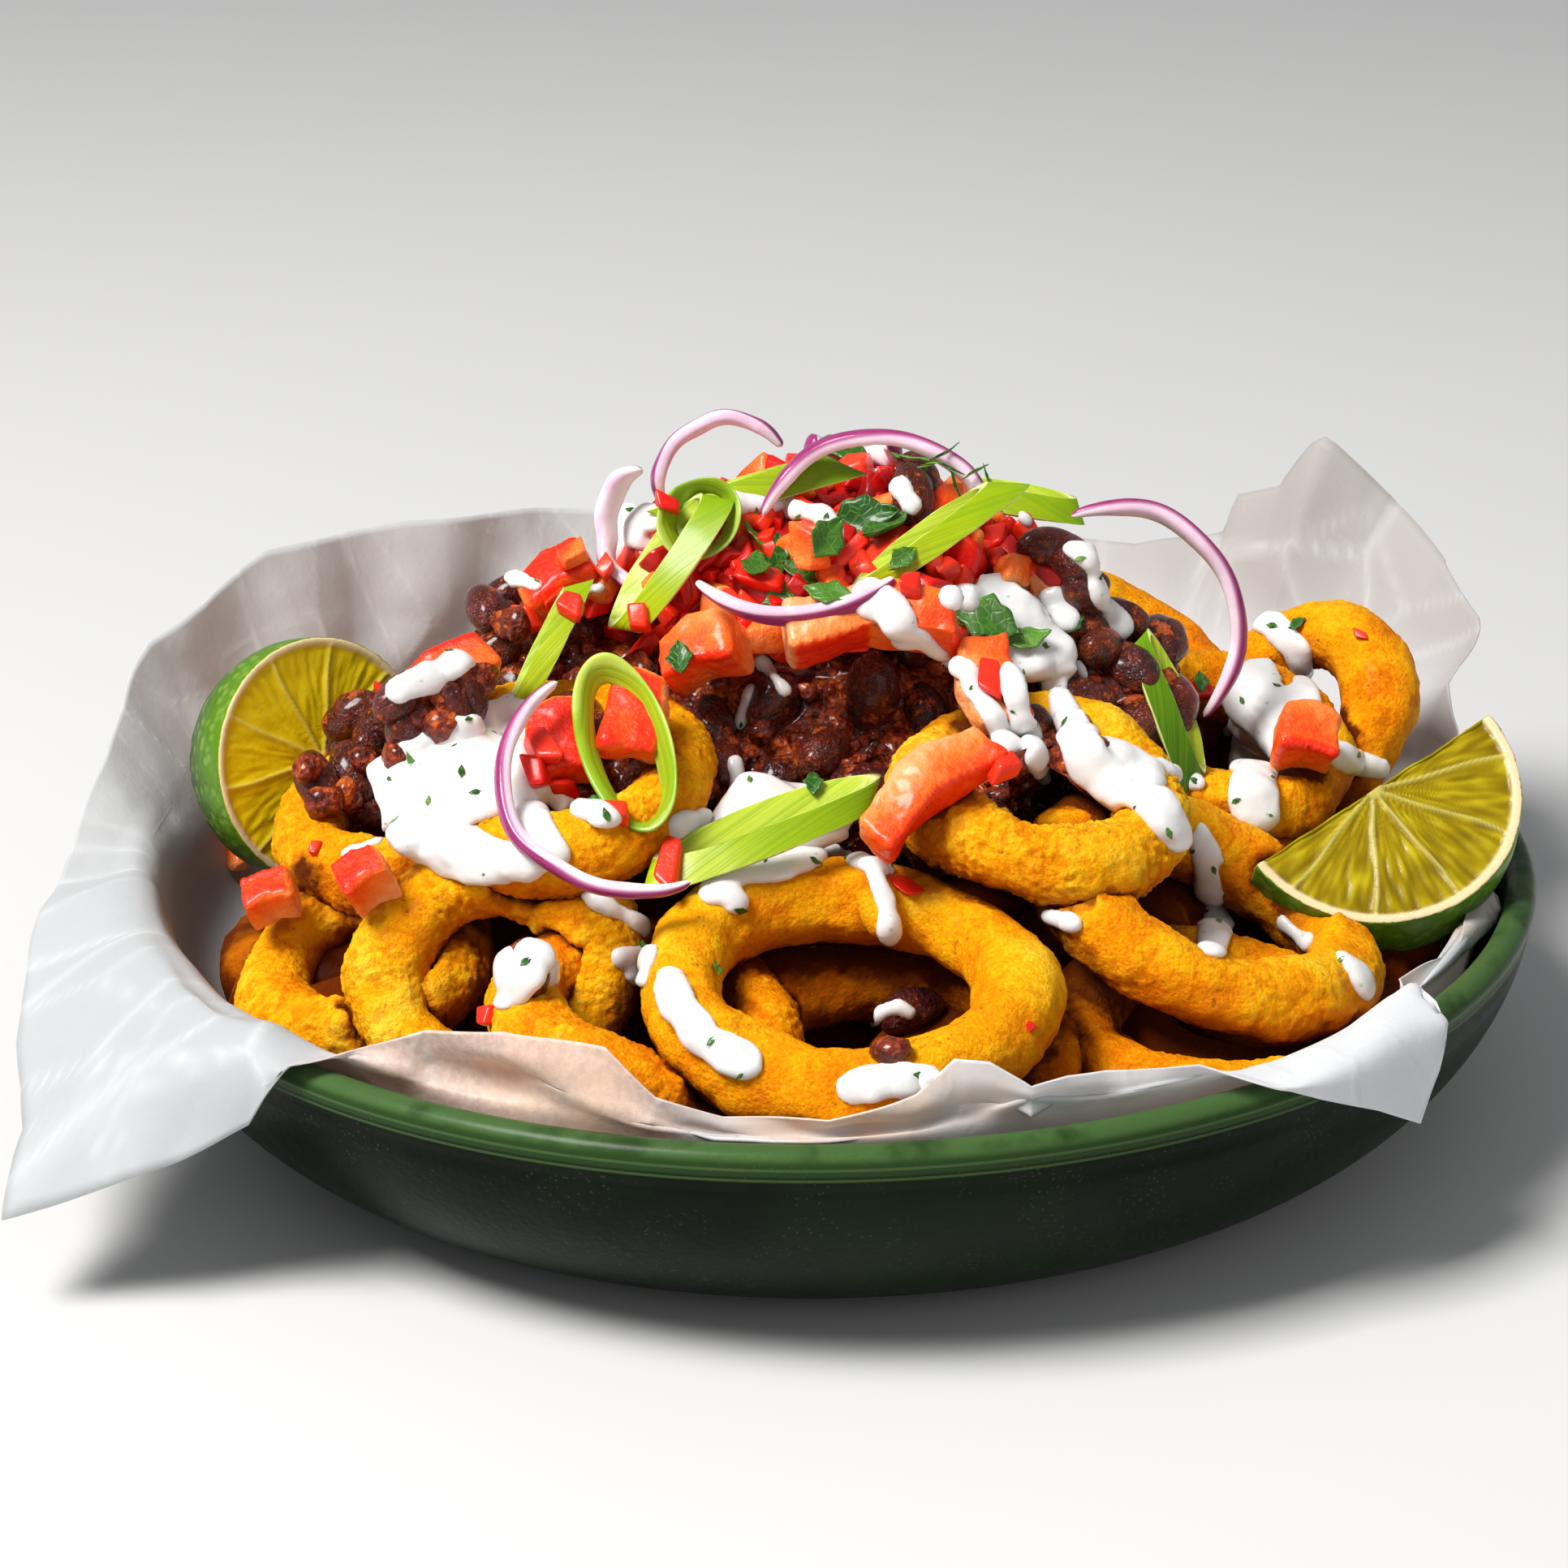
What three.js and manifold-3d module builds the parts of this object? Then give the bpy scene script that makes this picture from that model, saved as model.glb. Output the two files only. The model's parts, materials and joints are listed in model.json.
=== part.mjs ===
// A loaded side dish in millimetres, +Z up: fried onion rings heaped in a round stoneware bowl
// lined with parchment, under a mound of black-bean chili, diced tomato and pepper, cream, sliced
// spring onion and red onion, with two pieces of lime. The origin is the middle of the bowl's foot
// and -Y is the front. Every piece is its own closed solid, about GAP clear of its neighbours.

import * as THREE from 'three';
import { mergeVertices } from 'three/addons/utils/BufferGeometryUtils.js';
import Module from 'manifold-3d';

const wasm = await Module();
wasm.setup();

// ---------------------------------------------------------------- driving dimensions

const GAP = 0.35; // clearance between neighbouring pieces

const RIM_RADIUS = 125;
const BOWL_HEIGHT = 41;
const FOOT_RADIUS = 86;
const WALL = 5.5;
const FLOOR = 6;
const WALL_ROUNDNESS = 2 / 1.87; // exponent of the wall's curve, from an upright ellipse
const BOWL_SIDES = 38;

const PAPER = 0.8;
const PAPER_CLEARANCE = 0.75; // between the paper and the bowl
const PAPER_STEP = 13; // widest angle between two radial lines of the paper, in degrees

const RING_SIDES = 14; // along a ring
const CRUST_SIDES = 6; // round a ring's section
const RING_OVAL = 0.05; // how uneven a ring is, as a share of its radius
const CRUST_BULGE = [0.1, 0.05]; // and its crust, as a share of the crust's thickness
const RING_WAVE = 1.2; // how far it lies out of its plane

const DROP = [-7, 9]; // how far a loose topping may slide down or up onto what holds it
const DROP_STANDING = [-3, 2.5];
const STANDING = 58; // the lean from which a piece stands on edge

const BEAN = { long: 6.3, wide: 4.3, thick: 3.9 }; // half sizes

const GOLDEN_ANGLE = 137.508; // turning by it from one piece to the next spreads them evenly
const GOLDEN_SHARE = 0.618;

// ---------------------------------------------------------------- maths

const radians = THREE.MathUtils.degToRad;
const mix = THREE.MathUtils.lerp;
const smooth = THREE.MathUtils.smoothstep;

// A repeatable stream of random numbers from 0 to 1.
function randomStream(seed) {
  let state = seed * 2654435761 % 4294967296;
  return () => {
    state = (state * 1664525 + 1013904223) % 4294967296;
    return state / 4294967296;
  };
}

// A smooth uneven field between about -1 and 1, with bumps about `size` apart.
function unevenness([x, y, z], size, seed) {
  const k = Math.PI / size;
  return (
    Math.sin(k * (x + 0.6 * y) + 1.3 * seed) +
    Math.sin(k * (y - 0.5 * z) + 2.9 * seed) +
    Math.sin(k * (z + 0.4 * x) + 4.1 * seed)
  ) / 3;
}

// ---------------------------------------------------------------- solids

// A closed geometry as a solid that can be joined and cut, moved to its place.
function solidOf(geometry, place = new THREE.Matrix4()) {
  const bare = geometry.clone();
  bare.deleteAttribute('normal');
  bare.deleteAttribute('uv');
  const merged = mergeVertices(bare, 1e-4).applyMatrix4(place);
  const corners = [];
  for (let i = 0; i < merged.index.count; i += 3) {
    const [a, b, c] = [0, 1, 2].map((k) => merged.index.getX(i + k));
    if (a !== b && b !== c && c !== a) corners.push(a, b, c);
  }
  const vertProperties = merged.attributes.position.array;
  if (signedVolume(vertProperties, corners) < 0) corners.reverse();
  const triVerts = new Uint32Array(corners);
  return new wasm.Manifold(new wasm.Mesh({ numProp: 3, vertProperties, triVerts }));
}

function signedVolume(points, corners) {
  const corner = (i) => new THREE.Vector3().fromArray(points, 3 * corners[i]);
  let sum = 0;
  for (let i = 0; i < corners.length; i += 3) {
    sum += corner(i).dot(corner(i + 1).cross(corner(i + 2)));
  }
  return sum / 6;
}

// A solid as a geometry in its own frame, for a mesh that stands at `place`.
function geometryOf(solid, place) {
  const { vertProperties, triVerts } = solid.getMesh();
  const geometry = new THREE.BufferGeometry();
  geometry.setAttribute('position', new THREE.BufferAttribute(vertProperties, 3));
  geometry.setIndex(new THREE.BufferAttribute(triVerts, 1));
  geometry.applyMatrix4(place.clone().invert());
  geometry.computeVertexNormals();
  return geometry;
}

// The biggest body of a solid that a cut may have broken up.
function mainBody(solid) {
  return solid.decompose().reduce((best, body) => (body.volume() > best.volume() ? body : best));
}

// A solid less those neighbours that reach into it.
function clearOf(solid, neighbours) {
  let left = solid;
  for (const neighbour of neighbours) {
    if (left.intersect(neighbour).volume() > 0.001) left = left.subtract(neighbour);
  }
  return mainBody(left);
}

function joined(solids) {
  return solids.reduce((whole, next) => whole.add(next));
}

// Gives each piece of a list its own seed for what is uneven in it.
function numbered(pieces) {
  return pieces.map((piece, i) => ({ ...piece, seed: i + 1 }));
}

// Moves every point of a geometry by a rule.
function reshape(geometry, rule) {
  const position = geometry.attributes.position;
  for (let i = 0; i < position.count; i += 1) {
    position.setXYZ(i, ...rule([position.getX(i), position.getY(i), position.getZ(i)]));
  }
  return geometry;
}

// A place whose own +Z leans from upright towards a compass angle (0 is +X, 90 is +Y), after a
// turn about that +Z.
function pose([x, y, z], { towards = 0, lean = 0, spin = 0 } = {}) {
  const angle = radians(towards);
  const hinge = new THREE.Vector3(-Math.sin(angle), Math.cos(angle), 0);
  return new THREE.Matrix4()
    .makeRotationAxis(hinge, radians(lean))
    .multiply(new THREE.Matrix4().makeRotationZ(radians(spin)))
    .setPosition(x, y, z);
}

// ---------------------------------------------------------------- bowl

// Radius and height of the bowl's outer wall: `turn` goes from 0 at the foot to 90 at the rim.
function wallPoint(turn, inset = 0) {
  const across = Math.sin(radians(turn)) ** WALL_ROUNDNESS;
  const along = Math.cos(radians(turn)) ** WALL_ROUNDNESS;
  const radius = FOOT_RADIUS + (RIM_RADIUS - FOOT_RADIUS) * across - inset;
  return new THREE.Vector2(radius, mix(BOWL_HEIGHT, inset * FLOOR / WALL, along));
}

function bowlGeometry(grow = 0) {
  const lip = WALL / 2 + grow;
  const outside = [0, 26, 50, 68, 80].map((turn) => wallPoint(turn, -grow));
  const lipCentre = new THREE.Vector2(RIM_RADIUS - WALL / 2, BOWL_HEIGHT - WALL / 2);
  const rim = [15, 62, 118, 165].map((turn) => new THREE.Vector2(
    lipCentre.x + lip * Math.cos(radians(turn)),
    lipCentre.y + lip * Math.sin(radians(turn)),
  ));
  const inside = [76, 56, 30, 8].map((turn) => wallPoint(turn, WALL + grow));
  const middle = (z) => new THREE.Vector2(0, z);
  return new THREE.LatheGeometry(
    [middle(-grow), ...outside, ...rim, ...inside, middle(FLOOR + grow)],
    BOWL_SIDES,
  );
}

// ---------------------------------------------------------------- paper liner

// Where the paper's edge runs: compass angle, radius and height. It stands up behind and on the
// left, ends in pointed corners, is tucked inside the rim at the front and on the right, and
// hangs over it in a flap.
const PAPER_EDGE = [
  [0, 114, 38], [10, 118, 46], [19, 124, 54], [26, 139, 61], [33, 147, 65], [40, 148, 73],
  [45.5, 144, 84], [49, 139, 73], [54, 139, 60], [61, 133, 57], [75, 128, 60], [90, 128, 63],
  [105, 128, 65], [116, 128, 68], [131, 127, 72], [146, 129, 73], [154, 128, 69], [162, 130, 67],
  [169, 130, 61], [176, 130, 54], [184, 132, 46], [190, 135, 42], [196, 140, 38], [204, 146, 30],
  [211, 150, 23], [216, 161, 16], [222, 141, 25], [226, 131, 32], [229, 128, 43], [232, 121, 45],
  [238, 117, 50], [245, 116, 53], [253, 116, 52], [257, 116, 45], [262, 116, 42], [270, 116, 42],
  [277, 115, 49], [284, 116, 45], [291, 118, 46], [298, 121, 46], [302, 127, 43], [306, 129, 39],
  [311, 130, 34], [315, 131, 29], [317.5, 130, 36], [320, 128, 43], [324, 121, 46], [331, 118, 46],
  [337, 116, 42], [345, 114, 38],
];

// Where the edge reaches far enough out and lies low enough, the paper bends over the rim, and
// then down outside it: each goes from not at all to fully between two reaches and two heights.
const OVER_RIM = { reach: [116, 120], height: [50, 60] };
const HANGS_DOWN = { reach: [123, 126], height: [41, 44] };

// The edge's angles, with more between those that lie far apart.
function paperAngles() {
  const angles = [];
  PAPER_EDGE.forEach(([start], i) => {
    const end = i + 1 < PAPER_EDGE.length ? PAPER_EDGE[i + 1][0] : 360;
    const steps = Math.ceil((end - start) / PAPER_STEP);
    for (let k = 0; k < steps; k += 1) angles.push(mix(start, end, k / steps));
  });
  return angles;
}

function paperEdgeAt(angle) {
  const after = PAPER_EDGE.findIndex(([start]) => start > angle);
  const [a0, r0, z0] = PAPER_EDGE[(after < 0 ? PAPER_EDGE.length : after) - 1];
  const [a1, r1, z1] = after < 0 ? [360, PAPER_EDGE[0][1], PAPER_EDGE[0][2]] : PAPER_EDGE[after];
  const share = (angle - a0) / (a1 - a0);
  return new THREE.Vector2(mix(r0, r1, share), mix(z0, z1, share));
}

// The paper's section on one radial line, from the middle of the floor to the edge: along the
// bowl's inside, then up, or over the lip and down.
function paperSection(angle) {
  const lift = PAPER_CLEARANCE + PAPER / 2;
  const edge = paperEdgeAt(angle);
  const tuck = 0.5 + 0.5 * Math.sin(radians(angle * 9));
  const wall = [8, 54].map((turn) => wallPoint(turn, WALL).add(new THREE.Vector2(
    -(lift + tuck) * Math.sin(radians(turn)) - 0.3,
    (lift + 0.2) * Math.cos(radians(turn)),
  )));
  const brink = new THREE.Vector2(RIM_RADIUS - WALL - lift - 2 - tuck, BOWL_HEIGHT - 3);
  const over = smooth(edge.x, ...OVER_RIM.reach) * (1 - smooth(edge.y, ...OVER_RIM.height));
  const hang = smooth(edge.x, ...HANGS_DOWN.reach) * (1 - smooth(edge.y, ...HANGS_DOWN.height));
  const lip = brink.clone().lerp(edge, 0.3)
    .lerp(new THREE.Vector2(RIM_RADIUS - 5, BOWL_HEIGHT + 2.4), over);
  const shoulder = lip.clone().lerp(edge, 0.4)
    .lerp(new THREE.Vector2(RIM_RADIUS + 2.8, BOWL_HEIGHT + 1.6), hang);
  const start = new THREE.Vector2(FOOT_RADIUS - 14, FLOOR + lift);
  return [start, ...wall, brink, lip, shoulder, edge];
}

// The paper's mid-surface as rings of points from the floor out to the edge.
function paperPoints() {
  const angles = paperAngles();
  const sections = angles.map(paperSection);
  return sections[0].map((_, level) => angles.map((angle, i) => {
    const { x: radius, y: height } = sections[i][level];
    const free = level < 4 ? 0 : (level - 3) / 3;
    const crease = free * 2.2 * Math.sin(radians(angle * 11) + 0.7 * level);
    return new THREE.Vector3(
      (radius + crease) * Math.cos(radians(angle)),
      (radius + crease) * Math.sin(radians(angle)),
      height,
    );
  }));
}

// The sheet with both faces, moved apart along the mid-surface's normals.
function paperSolid(grow = 0) {
  const rings = paperPoints();
  const across = rings[0].length;
  const half = PAPER / 2 + grow;
  const faces = [1, -1].map((side) => rings.map((ring, level) => ring.map((point, i) => {
    const inner = rings[Math.max(level - 1, 0)][i];
    const outer = rings[Math.min(level + 1, rings.length - 1)][i];
    const along = outer.clone().sub(inner);
    const round = ring[(i + 1) % across].clone().sub(ring[(i + across - 1) % across]);
    const beyond = along.clone().setLength(level === rings.length - 1 ? 2 * grow : 0);
    return along.cross(round).setLength(side * half).add(point).add(beyond);
  })));
  const middle = [1, -1].map((side) => new THREE.Vector3(0, 0, rings[0][0].z + side * half));
  const points = [...faces.flat(2), ...middle];
  const at = (side, level, i) => (side * rings.length + level) * across + (i % across);
  const corners = [];
  for (let i = 0; i < across; i += 1) {
    const last = rings.length - 1;
    corners.push(points.length - 2, at(0, 0, i), at(0, 0, i + 1));
    corners.push(points.length - 1, at(1, 0, i + 1), at(1, 0, i));
    for (let level = 0; level < last; level += 1) {
      const [a, b] = [at(0, level, i), at(0, level, i + 1)];
      const [c, d] = [at(0, level + 1, i), at(0, level + 1, i + 1)];
      corners.push(a, c, d, a, d, b);
      const [e, f] = [at(1, level, i), at(1, level, i + 1)];
      const [g, h] = [at(1, level + 1, i), at(1, level + 1, i + 1)];
      corners.push(e, h, g, e, f, h);
    }
    const [a, b, c, d] = [at(0, last, i), at(0, last, i + 1), at(1, last, i), at(1, last, i + 1)];
    corners.push(a, c, d, a, d, b);
  }
  const geometry = new THREE.BufferGeometry().setFromPoints(points);
  geometry.setIndex(corners);
  return solidOf(geometry);
}

// ---------------------------------------------------------------- fried onion rings

// Every ring that shows, the uppermost first: its middle, the radius of its hole's middle line,
// half its crust's thickness, and the way it leans.
const RINGS = numbered([
  { name: 'ring_front', at: [3.6, -82, 48.2], radius: 26.8, crust: 7.5, towards: 270, lean: 12 },
  { name: 'ring_breaded', at: [35.4, -45, 66], radius: 19, crust: 7.2, towards: 285, lean: 14 },
  { name: 'ring_middle_left', at: [-43, -42, 69], radius: 20.5, crust: 7, towards: 255, lean: 14 },
  { name: 'ring_front_left', at: [-29, -80, 42], radius: 20.5, crust: 7, towards: 335, lean: 16 },
  { name: 'ring_right', at: [63, -49, 47], radius: 26, crust: 7.2, towards: 345, lean: 26 },
  { name: 'ring_left_front', at: [-54, -67, 45], radius: 17.5, crust: 7.2, towards: 262, lean: 50 },
  { name: 'ring_left_top', at: [-71, -21, 54], radius: 18, crust: 7, towards: 225, lean: 12 },
  { name: 'ring_left', at: [-77, -50, 40], radius: 17, crust: 6.8, towards: 225, lean: 26 },
  { name: 'ring_right_top', at: [70, 6, 57], radius: 20, crust: 7.2, towards: 310, lean: 18 },
  { name: 'ring_back_right', at: [89, 27, 53], radius: 16.5, crust: 7.2, towards: 215, lean: 55 },
  { name: 'ring_back', at: [52, 44, 58], radius: 21, crust: 7.6, towards: 330, lean: 28 },
  { name: 'ring_front_right', at: [62, -68, 33], radius: 21, crust: 7, towards: 315, lean: 14 },
  { name: 'ring_front_low', at: [9, -77, 33.5], radius: 25.5, crust: 7, towards: 270, lean: 12 },
  { name: 'ring_rear_right', at: [50, 80, 44], radius: 18.5, crust: 7, towards: 62, lean: 16 },
  { name: 'ring_rear', at: [9, 78, 52], radius: 21, crust: 7.2, towards: 95, lean: 24 },
  { name: 'ring_rear_left', at: [-38, 66, 54], radius: 20, crust: 7, towards: 60, lean: 20 },
  { name: 'ring_far_left', at: [-76, 40, 51], radius: 20, crust: 7.2, towards: 150, lean: 22 },
]);

// One fried ring: an uneven hoop, a little oval, its crust thicker in places.
function ringSolid(ring, grow = 0, sides = [RING_SIDES, CRUST_SIDES]) {
  const { seed } = ring;
  const hoop = new THREE.TorusGeometry(ring.radius, 1, sides[1], sides[0]);
  reshape(hoop, ([x, y, z]) => {
    const turn = Math.atan2(y, x);
    const oval = 1 + RING_OVAL * Math.cos(2 * turn + seed);
    const bulge = CRUST_BULGE[0] * Math.sin(3 * turn + 2 * seed)
      + CRUST_BULGE[1] * Math.sin(5 * turn + seed);
    const crust = ring.crust * (1 + bulge) + grow;
    const outward = Math.hypot(x, y) - ring.radius;
    const radius = ring.radius * oval + outward * crust;
    const wave = RING_WAVE * Math.sin(2 * turn + 3 * seed);
    return [radius * Math.cos(turn), radius * Math.sin(turn), z * crust + wave];
  });
  return solidOf(hoop, pose(ring.at, ring));
}

// The plain disc of space that a ring takes up, hole and all.
function ringPocket(ring) {
  const sides = 8;
  const clearance = 0.6;
  const crust = ring.crust * (1 + CRUST_BULGE[0] + CRUST_BULGE[1]) + clearance;
  const radius = ((1 + RING_OVAL) * ring.radius + crust) / Math.cos(Math.PI / sides);
  const height = 2 * (crust + RING_WAVE);
  const disc = new THREE.CylinderGeometry(radius, radius, height, sides).rotateX(Math.PI / 2);
  return solidOf(disc, pose(ring.at, ring));
}

// ---------------------------------------------------------------- the heap underneath

// The rings that only show in part, low in the bowl: the compass angles where they lie, and the
// least and most of what differs between them.
const LOW_RINGS = {
  angles: [335, 15, 150, 192],
  reach: [80, 84],
  height: 31,
  radius: [19, 23],
  crust: 7,
  lean: [8, 22],
};

// Radius and height round the outline of what fills the bowl below them.
const HEAP_OUTLINE = [[0, 9], [74, 9], [97, 17], [106, 28], [98, 33], [76, 38], [52, 44], [0, 46]];

function heapRings(grow = 0) {
  const random = randomStream(7);
  return LOW_RINGS.angles.map((angle, i) => {
    const reach = mix(...LOW_RINGS.reach, random());
    const radius = mix(...LOW_RINGS.radius, random());
    const lean = mix(...LOW_RINGS.lean, random());
    const hoop = new THREE.TorusGeometry(radius, LOW_RINGS.crust + grow, 5, 11);
    reshape(hoop, ([x, y, z]) => [x, y * 0.95, z + unevenness([x, y, z], 20, i)]);
    const [x, y] = [reach * Math.cos(radians(angle)), reach * Math.sin(radians(angle))];
    return solidOf(hoop, pose([x, y, LOW_RINGS.height], { towards: angle, lean }));
  });
}

function heapCore(lift = 0) {
  const outline = HEAP_OUTLINE.map(([radius, height]) => new THREE.Vector2(radius, height + lift));
  return solidOf(standing(new THREE.LatheGeometry(outline, 16)));
}

// A lathe turns about its own Y: this stands it up along Z.
function standing(geometry) {
  return geometry.rotateX(Math.PI / 2);
}

// ---------------------------------------------------------------- chili

// The mound and its spur to the left: middle and half sizes.
const CHILI_MOUNDS = [
  { at: [0, 8, 48], half: [58, 42, 46] },
  { at: [-62, -6, 56], half: [28, 14, 13] },
  { at: [46, 4, 60], half: [22, 24, 24] },
  { at: [34, -36, 64], half: [22, 17, 12] },
  { at: [-40, -33, 66], half: [22, 17, 11] },
  { at: [-46, 8, 70], half: [19, 18, 15] },
];

// The whole beans that show: how many stand out of the mound, how high up it, and the middles of
// those on the spur.
const BEANS = {
  count: 13,
  rise: [12, 50],
  onSpur: [
    [-84, -14, 58], [-80, -2, 64], [-72, -14, 63], [-66, -4, 67], [-60, -16, 63], [-88, -4, 56],
  ],
};

function ellipsoid({ at, half: [a, b, c] }, [round, high]) {
  const ball = new THREE.SphereGeometry(1, round, high).rotateX(Math.PI / 2);
  reshape(ball, ([x, y, z]) => [x * a, y * b, z * c]);
  return solidOf(ball, new THREE.Matrix4().makeTranslation(...at));
}

// Places spread evenly over a band of an ellipsoid, between two angles of rise above its middle,
// each with the turn and rise of the way out.
function spreadOver({ at, half }, count, [lowest, highest]) {
  return Array.from({ length: count }, (_, i) => {
    const turn = i * GOLDEN_ANGLE;
    const rise = mix(lowest, highest, (i * GOLDEN_SHARE) % 1);
    const out = [
      Math.cos(radians(turn)) * Math.cos(radians(rise)),
      Math.sin(radians(turn)) * Math.cos(radians(rise)),
      Math.sin(radians(rise)),
    ];
    return { spot: at.map((middle, k) => middle + half[k] * out[k]), turn, rise };
  });
}

function chiliBeans() {
  const random = randomStream(11);
  const onMound = spreadOver(CHILI_MOUNDS[0], BEANS.count, BEANS.rise).map(
    ({ spot, turn, rise }) => bean(spot, { towards: turn, lean: 90 - rise, spin: 360 * random() }),
  );
  const onSpur = BEANS.onSpur.map(
    (spot) => bean(spot, { towards: 250, lean: 30, spin: 360 * random() }),
  );
  return [...onMound, ...onSpur];
}

function bean(at, turned) {
  const ball = new THREE.SphereGeometry(1, 6, 4).rotateX(Math.PI / 2);
  reshape(ball, ([x, y, z]) => [
    x * BEAN.long, y * BEAN.wide + 0.9 * (x * x - 0.4), z * BEAN.thick,
  ]);
  return solidOf(ball, pose(at, turned));
}

// ---------------------------------------------------------------- diced tomato and pepper on top

const SALSA = { at: [1, 8, 86], half: [42, 30, 19] };
const DICE = { count: 17, rise: [6, 84], size: [4, 7], length: [0.7, 1.2], height: 0.8 };

function salsaSolid() {
  const random = randomStream(23);
  const dice = spreadOver(SALSA, DICE.count, DICE.rise).map(({ spot, turn }) => {
    const size = mix(...DICE.size, random());
    const length = size * mix(...DICE.length, random());
    const cube = new THREE.BoxGeometry(size, length, size * DICE.height);
    const turned = { towards: turn + 20, lean: 60 * random(), spin: 90 * random() };
    return solidOf(cube, pose(spot, turned));
  });
  return joined([ellipsoid(SALSA, [11, 6]), ...dice]);
}

// ---------------------------------------------------------------- lime

// Two cut pieces: the middle of the cut face, the radius, how far the fruit's middle lies behind
// the face, and where the face looks. The right one is halved again across its face.
const LIMES = numbered([
  {
    name: 'lime_right', at: [93.7, -24, 59], radius: 26, behind: 6, halved: true,
    towards: 270, lean: 42, spin: 34,
  },
  {
    name: 'lime_left', at: [-88, 0, 57.5], radius: 22, behind: 2, halved: false,
    towards: 312, lean: 75, spin: 0,
  },
]);

function limeSolid(lime, grow = 0) {
  const radius = lime.radius + grow;
  const fruit = new THREE.SphereGeometry(radius, 14, 8).rotateX(Math.PI / 2);
  fruit.scale(1, 1, 1.08).translate(0, 0, -lime.behind);
  const reach = 4 * radius;
  const halfSpace = new THREE.BoxGeometry(reach, reach, reach);
  const overFace = halfSpace.clone().translate(0, 0, reach / 2 + grow);
  const overHalf = halfSpace.clone().translate(0, reach / 2 + grow, 0);
  let piece = solidOf(fruit).subtract(solidOf(overFace));
  if (lime.halved) piece = piece.subtract(solidOf(overHalf));
  return piece.transform(pose(lime.at, lime).toArray());
}

// ---------------------------------------------------------------- cream

// Thick spoonfuls that lie over what is under them.
const CREAM = numbered([
  { name: 'cream_left', at: [-60, -50, 70], half: [17, 14, 6], towards: 255, lean: 28, spin: 10 },
  { name: 'cream_upper_left', at: [-66, -12, 72], half: [8, 5, 4], towards: 260, lean: 20, spin: 20 },
  { name: 'cream_middle', at: [-8, -50, 65], half: [12, 7, 5], towards: 268, lean: 40, spin: 10 },
  { name: 'cream_breaded', at: [49, -46, 70], half: [11, 8, 4.5], towards: 330, lean: 20, spin: -40 },
  { name: 'cream_right', at: [79, 14, 60], half: [7, 15, 5], towards: 300, lean: 20, spin: 10 },
  { name: 'cream_top', at: [34, -14, 85], half: [12, 6, 4.5], towards: 300, lean: 50, spin: -35 },
  { name: 'cream_hollow', at: [-47.5, -84, 52], half: [5.5, 5, 6], towards: 270, lean: 20, spin: 0 },
]);

function creamSolid(cream, grow = 0) {
  const { seed } = cream;
  const blob = new THREE.SphereGeometry(1, 9, 5).rotateX(Math.PI / 2);
  const [a, b, c] = cream.half.map((length) => length + grow);
  reshape(blob, ([x, y, z]) => {
    const swell = 1 + 0.14 * Math.sin(3 * Math.atan2(y, x) + seed) * Math.hypot(x, y);
    return [x * a * swell, y * b * swell, z * c];
  });
  return solidOf(blob, pose(cream.at, cream));
}

// Thick drizzle that has run over the front ring and is one with it.
const FRONT_DRIZZLE = [
  { at: [-18.6, -98, 50.5], half: [11, 4, 3], towards: 270, lean: 30, spin: -45 },
  { at: [8, -65, 56.5], half: [3, 7, 3], towards: 270, lean: 50, spin: 12 },
];

function drizzleSolid({ half, at, ...turned }) {
  const drop = new THREE.SphereGeometry(1, 8, 5).rotateX(Math.PI / 2);
  reshape(drop, ([x, y, z]) => [x * half[0], y * half[1], z * half[2]]);
  return solidOf(drop, pose(at, turned));
}

// ---------------------------------------------------------------- tomato and pepper pieces

const TOMATOES = numbered([
  { name: 'tomato_cube', at: [-18, -21, 85], size: [14, 9, 10], towards: 240, lean: 50 },
  { name: 'tomato_wedge', at: [8, -23, 89], size: [26, 8, 9], towards: 270, lean: 50, spin: 4 },
  { name: 'tomato_strip_front', at: [17, -60, 72], size: [25, 7, 6], towards: 270, lean: 40, spin: 42 },
  { name: 'tomato_strip_upper', at: [28, -33, 80], size: [17, 8, 5], towards: 280, lean: 40, spin: 104 },
  { name: 'tomato_right', at: [83.5, -9.5, 61], size: [11, 9, 9], towards: 280, lean: 40, spin: -8 },
  { name: 'tomato_left', at: [-72, -55, 57], size: [10, 9, 9], towards: 250, lean: 35, spin: 25 },
  { name: 'tomato_left_low', at: [-91, -39, 48], size: [10, 8, 8], towards: 250, lean: 30, spin: 10 },
  { name: 'tomato_wedge_left', at: [-62, -33, 81], size: [17, 8, 5], towards: 260, lean: 35, spin: 38 },
  { name: 'tomato_hollow', at: [-43, -45, 77], size: [10, 13, 5], towards: 265, lean: 40, spin: 8 },
  { name: 'tomato_loop', at: [-31, -43, 77], size: [9, 14, 5], towards: 275, lean: 40, spin: -6 },
  { name: 'tomato_chunk', at: [-43, 0, 86], size: [13, 8, 9], towards: 235, lean: 40, spin: 20 },
]);

// A cut dice or strip: one long side is the rounded skin.
function tomatoSolid(tomato, grow = 0) {
  const { seed } = tomato;
  const [length, width, height] = tomato.size.map((side) => side + 2 * grow);
  const piece = new THREE.BoxGeometry(length, width, height, 2, 1, 1);
  reshape(piece, ([x, y, z]) => {
    const bow = 0.12 * length * (1 - (2 * x / length) ** 2);
    const uneven = 0.5 * unevenness([x, y, z], 6, seed);
    return [x * (1 + 0.06 * Math.sin(seed)), y + bow + uneven, z * (1 - 0.012 * y) + uneven];
  });
  return solidOf(piece, pose(tomato.at, tomato));
}

// ---------------------------------------------------------------- spring onion

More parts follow.
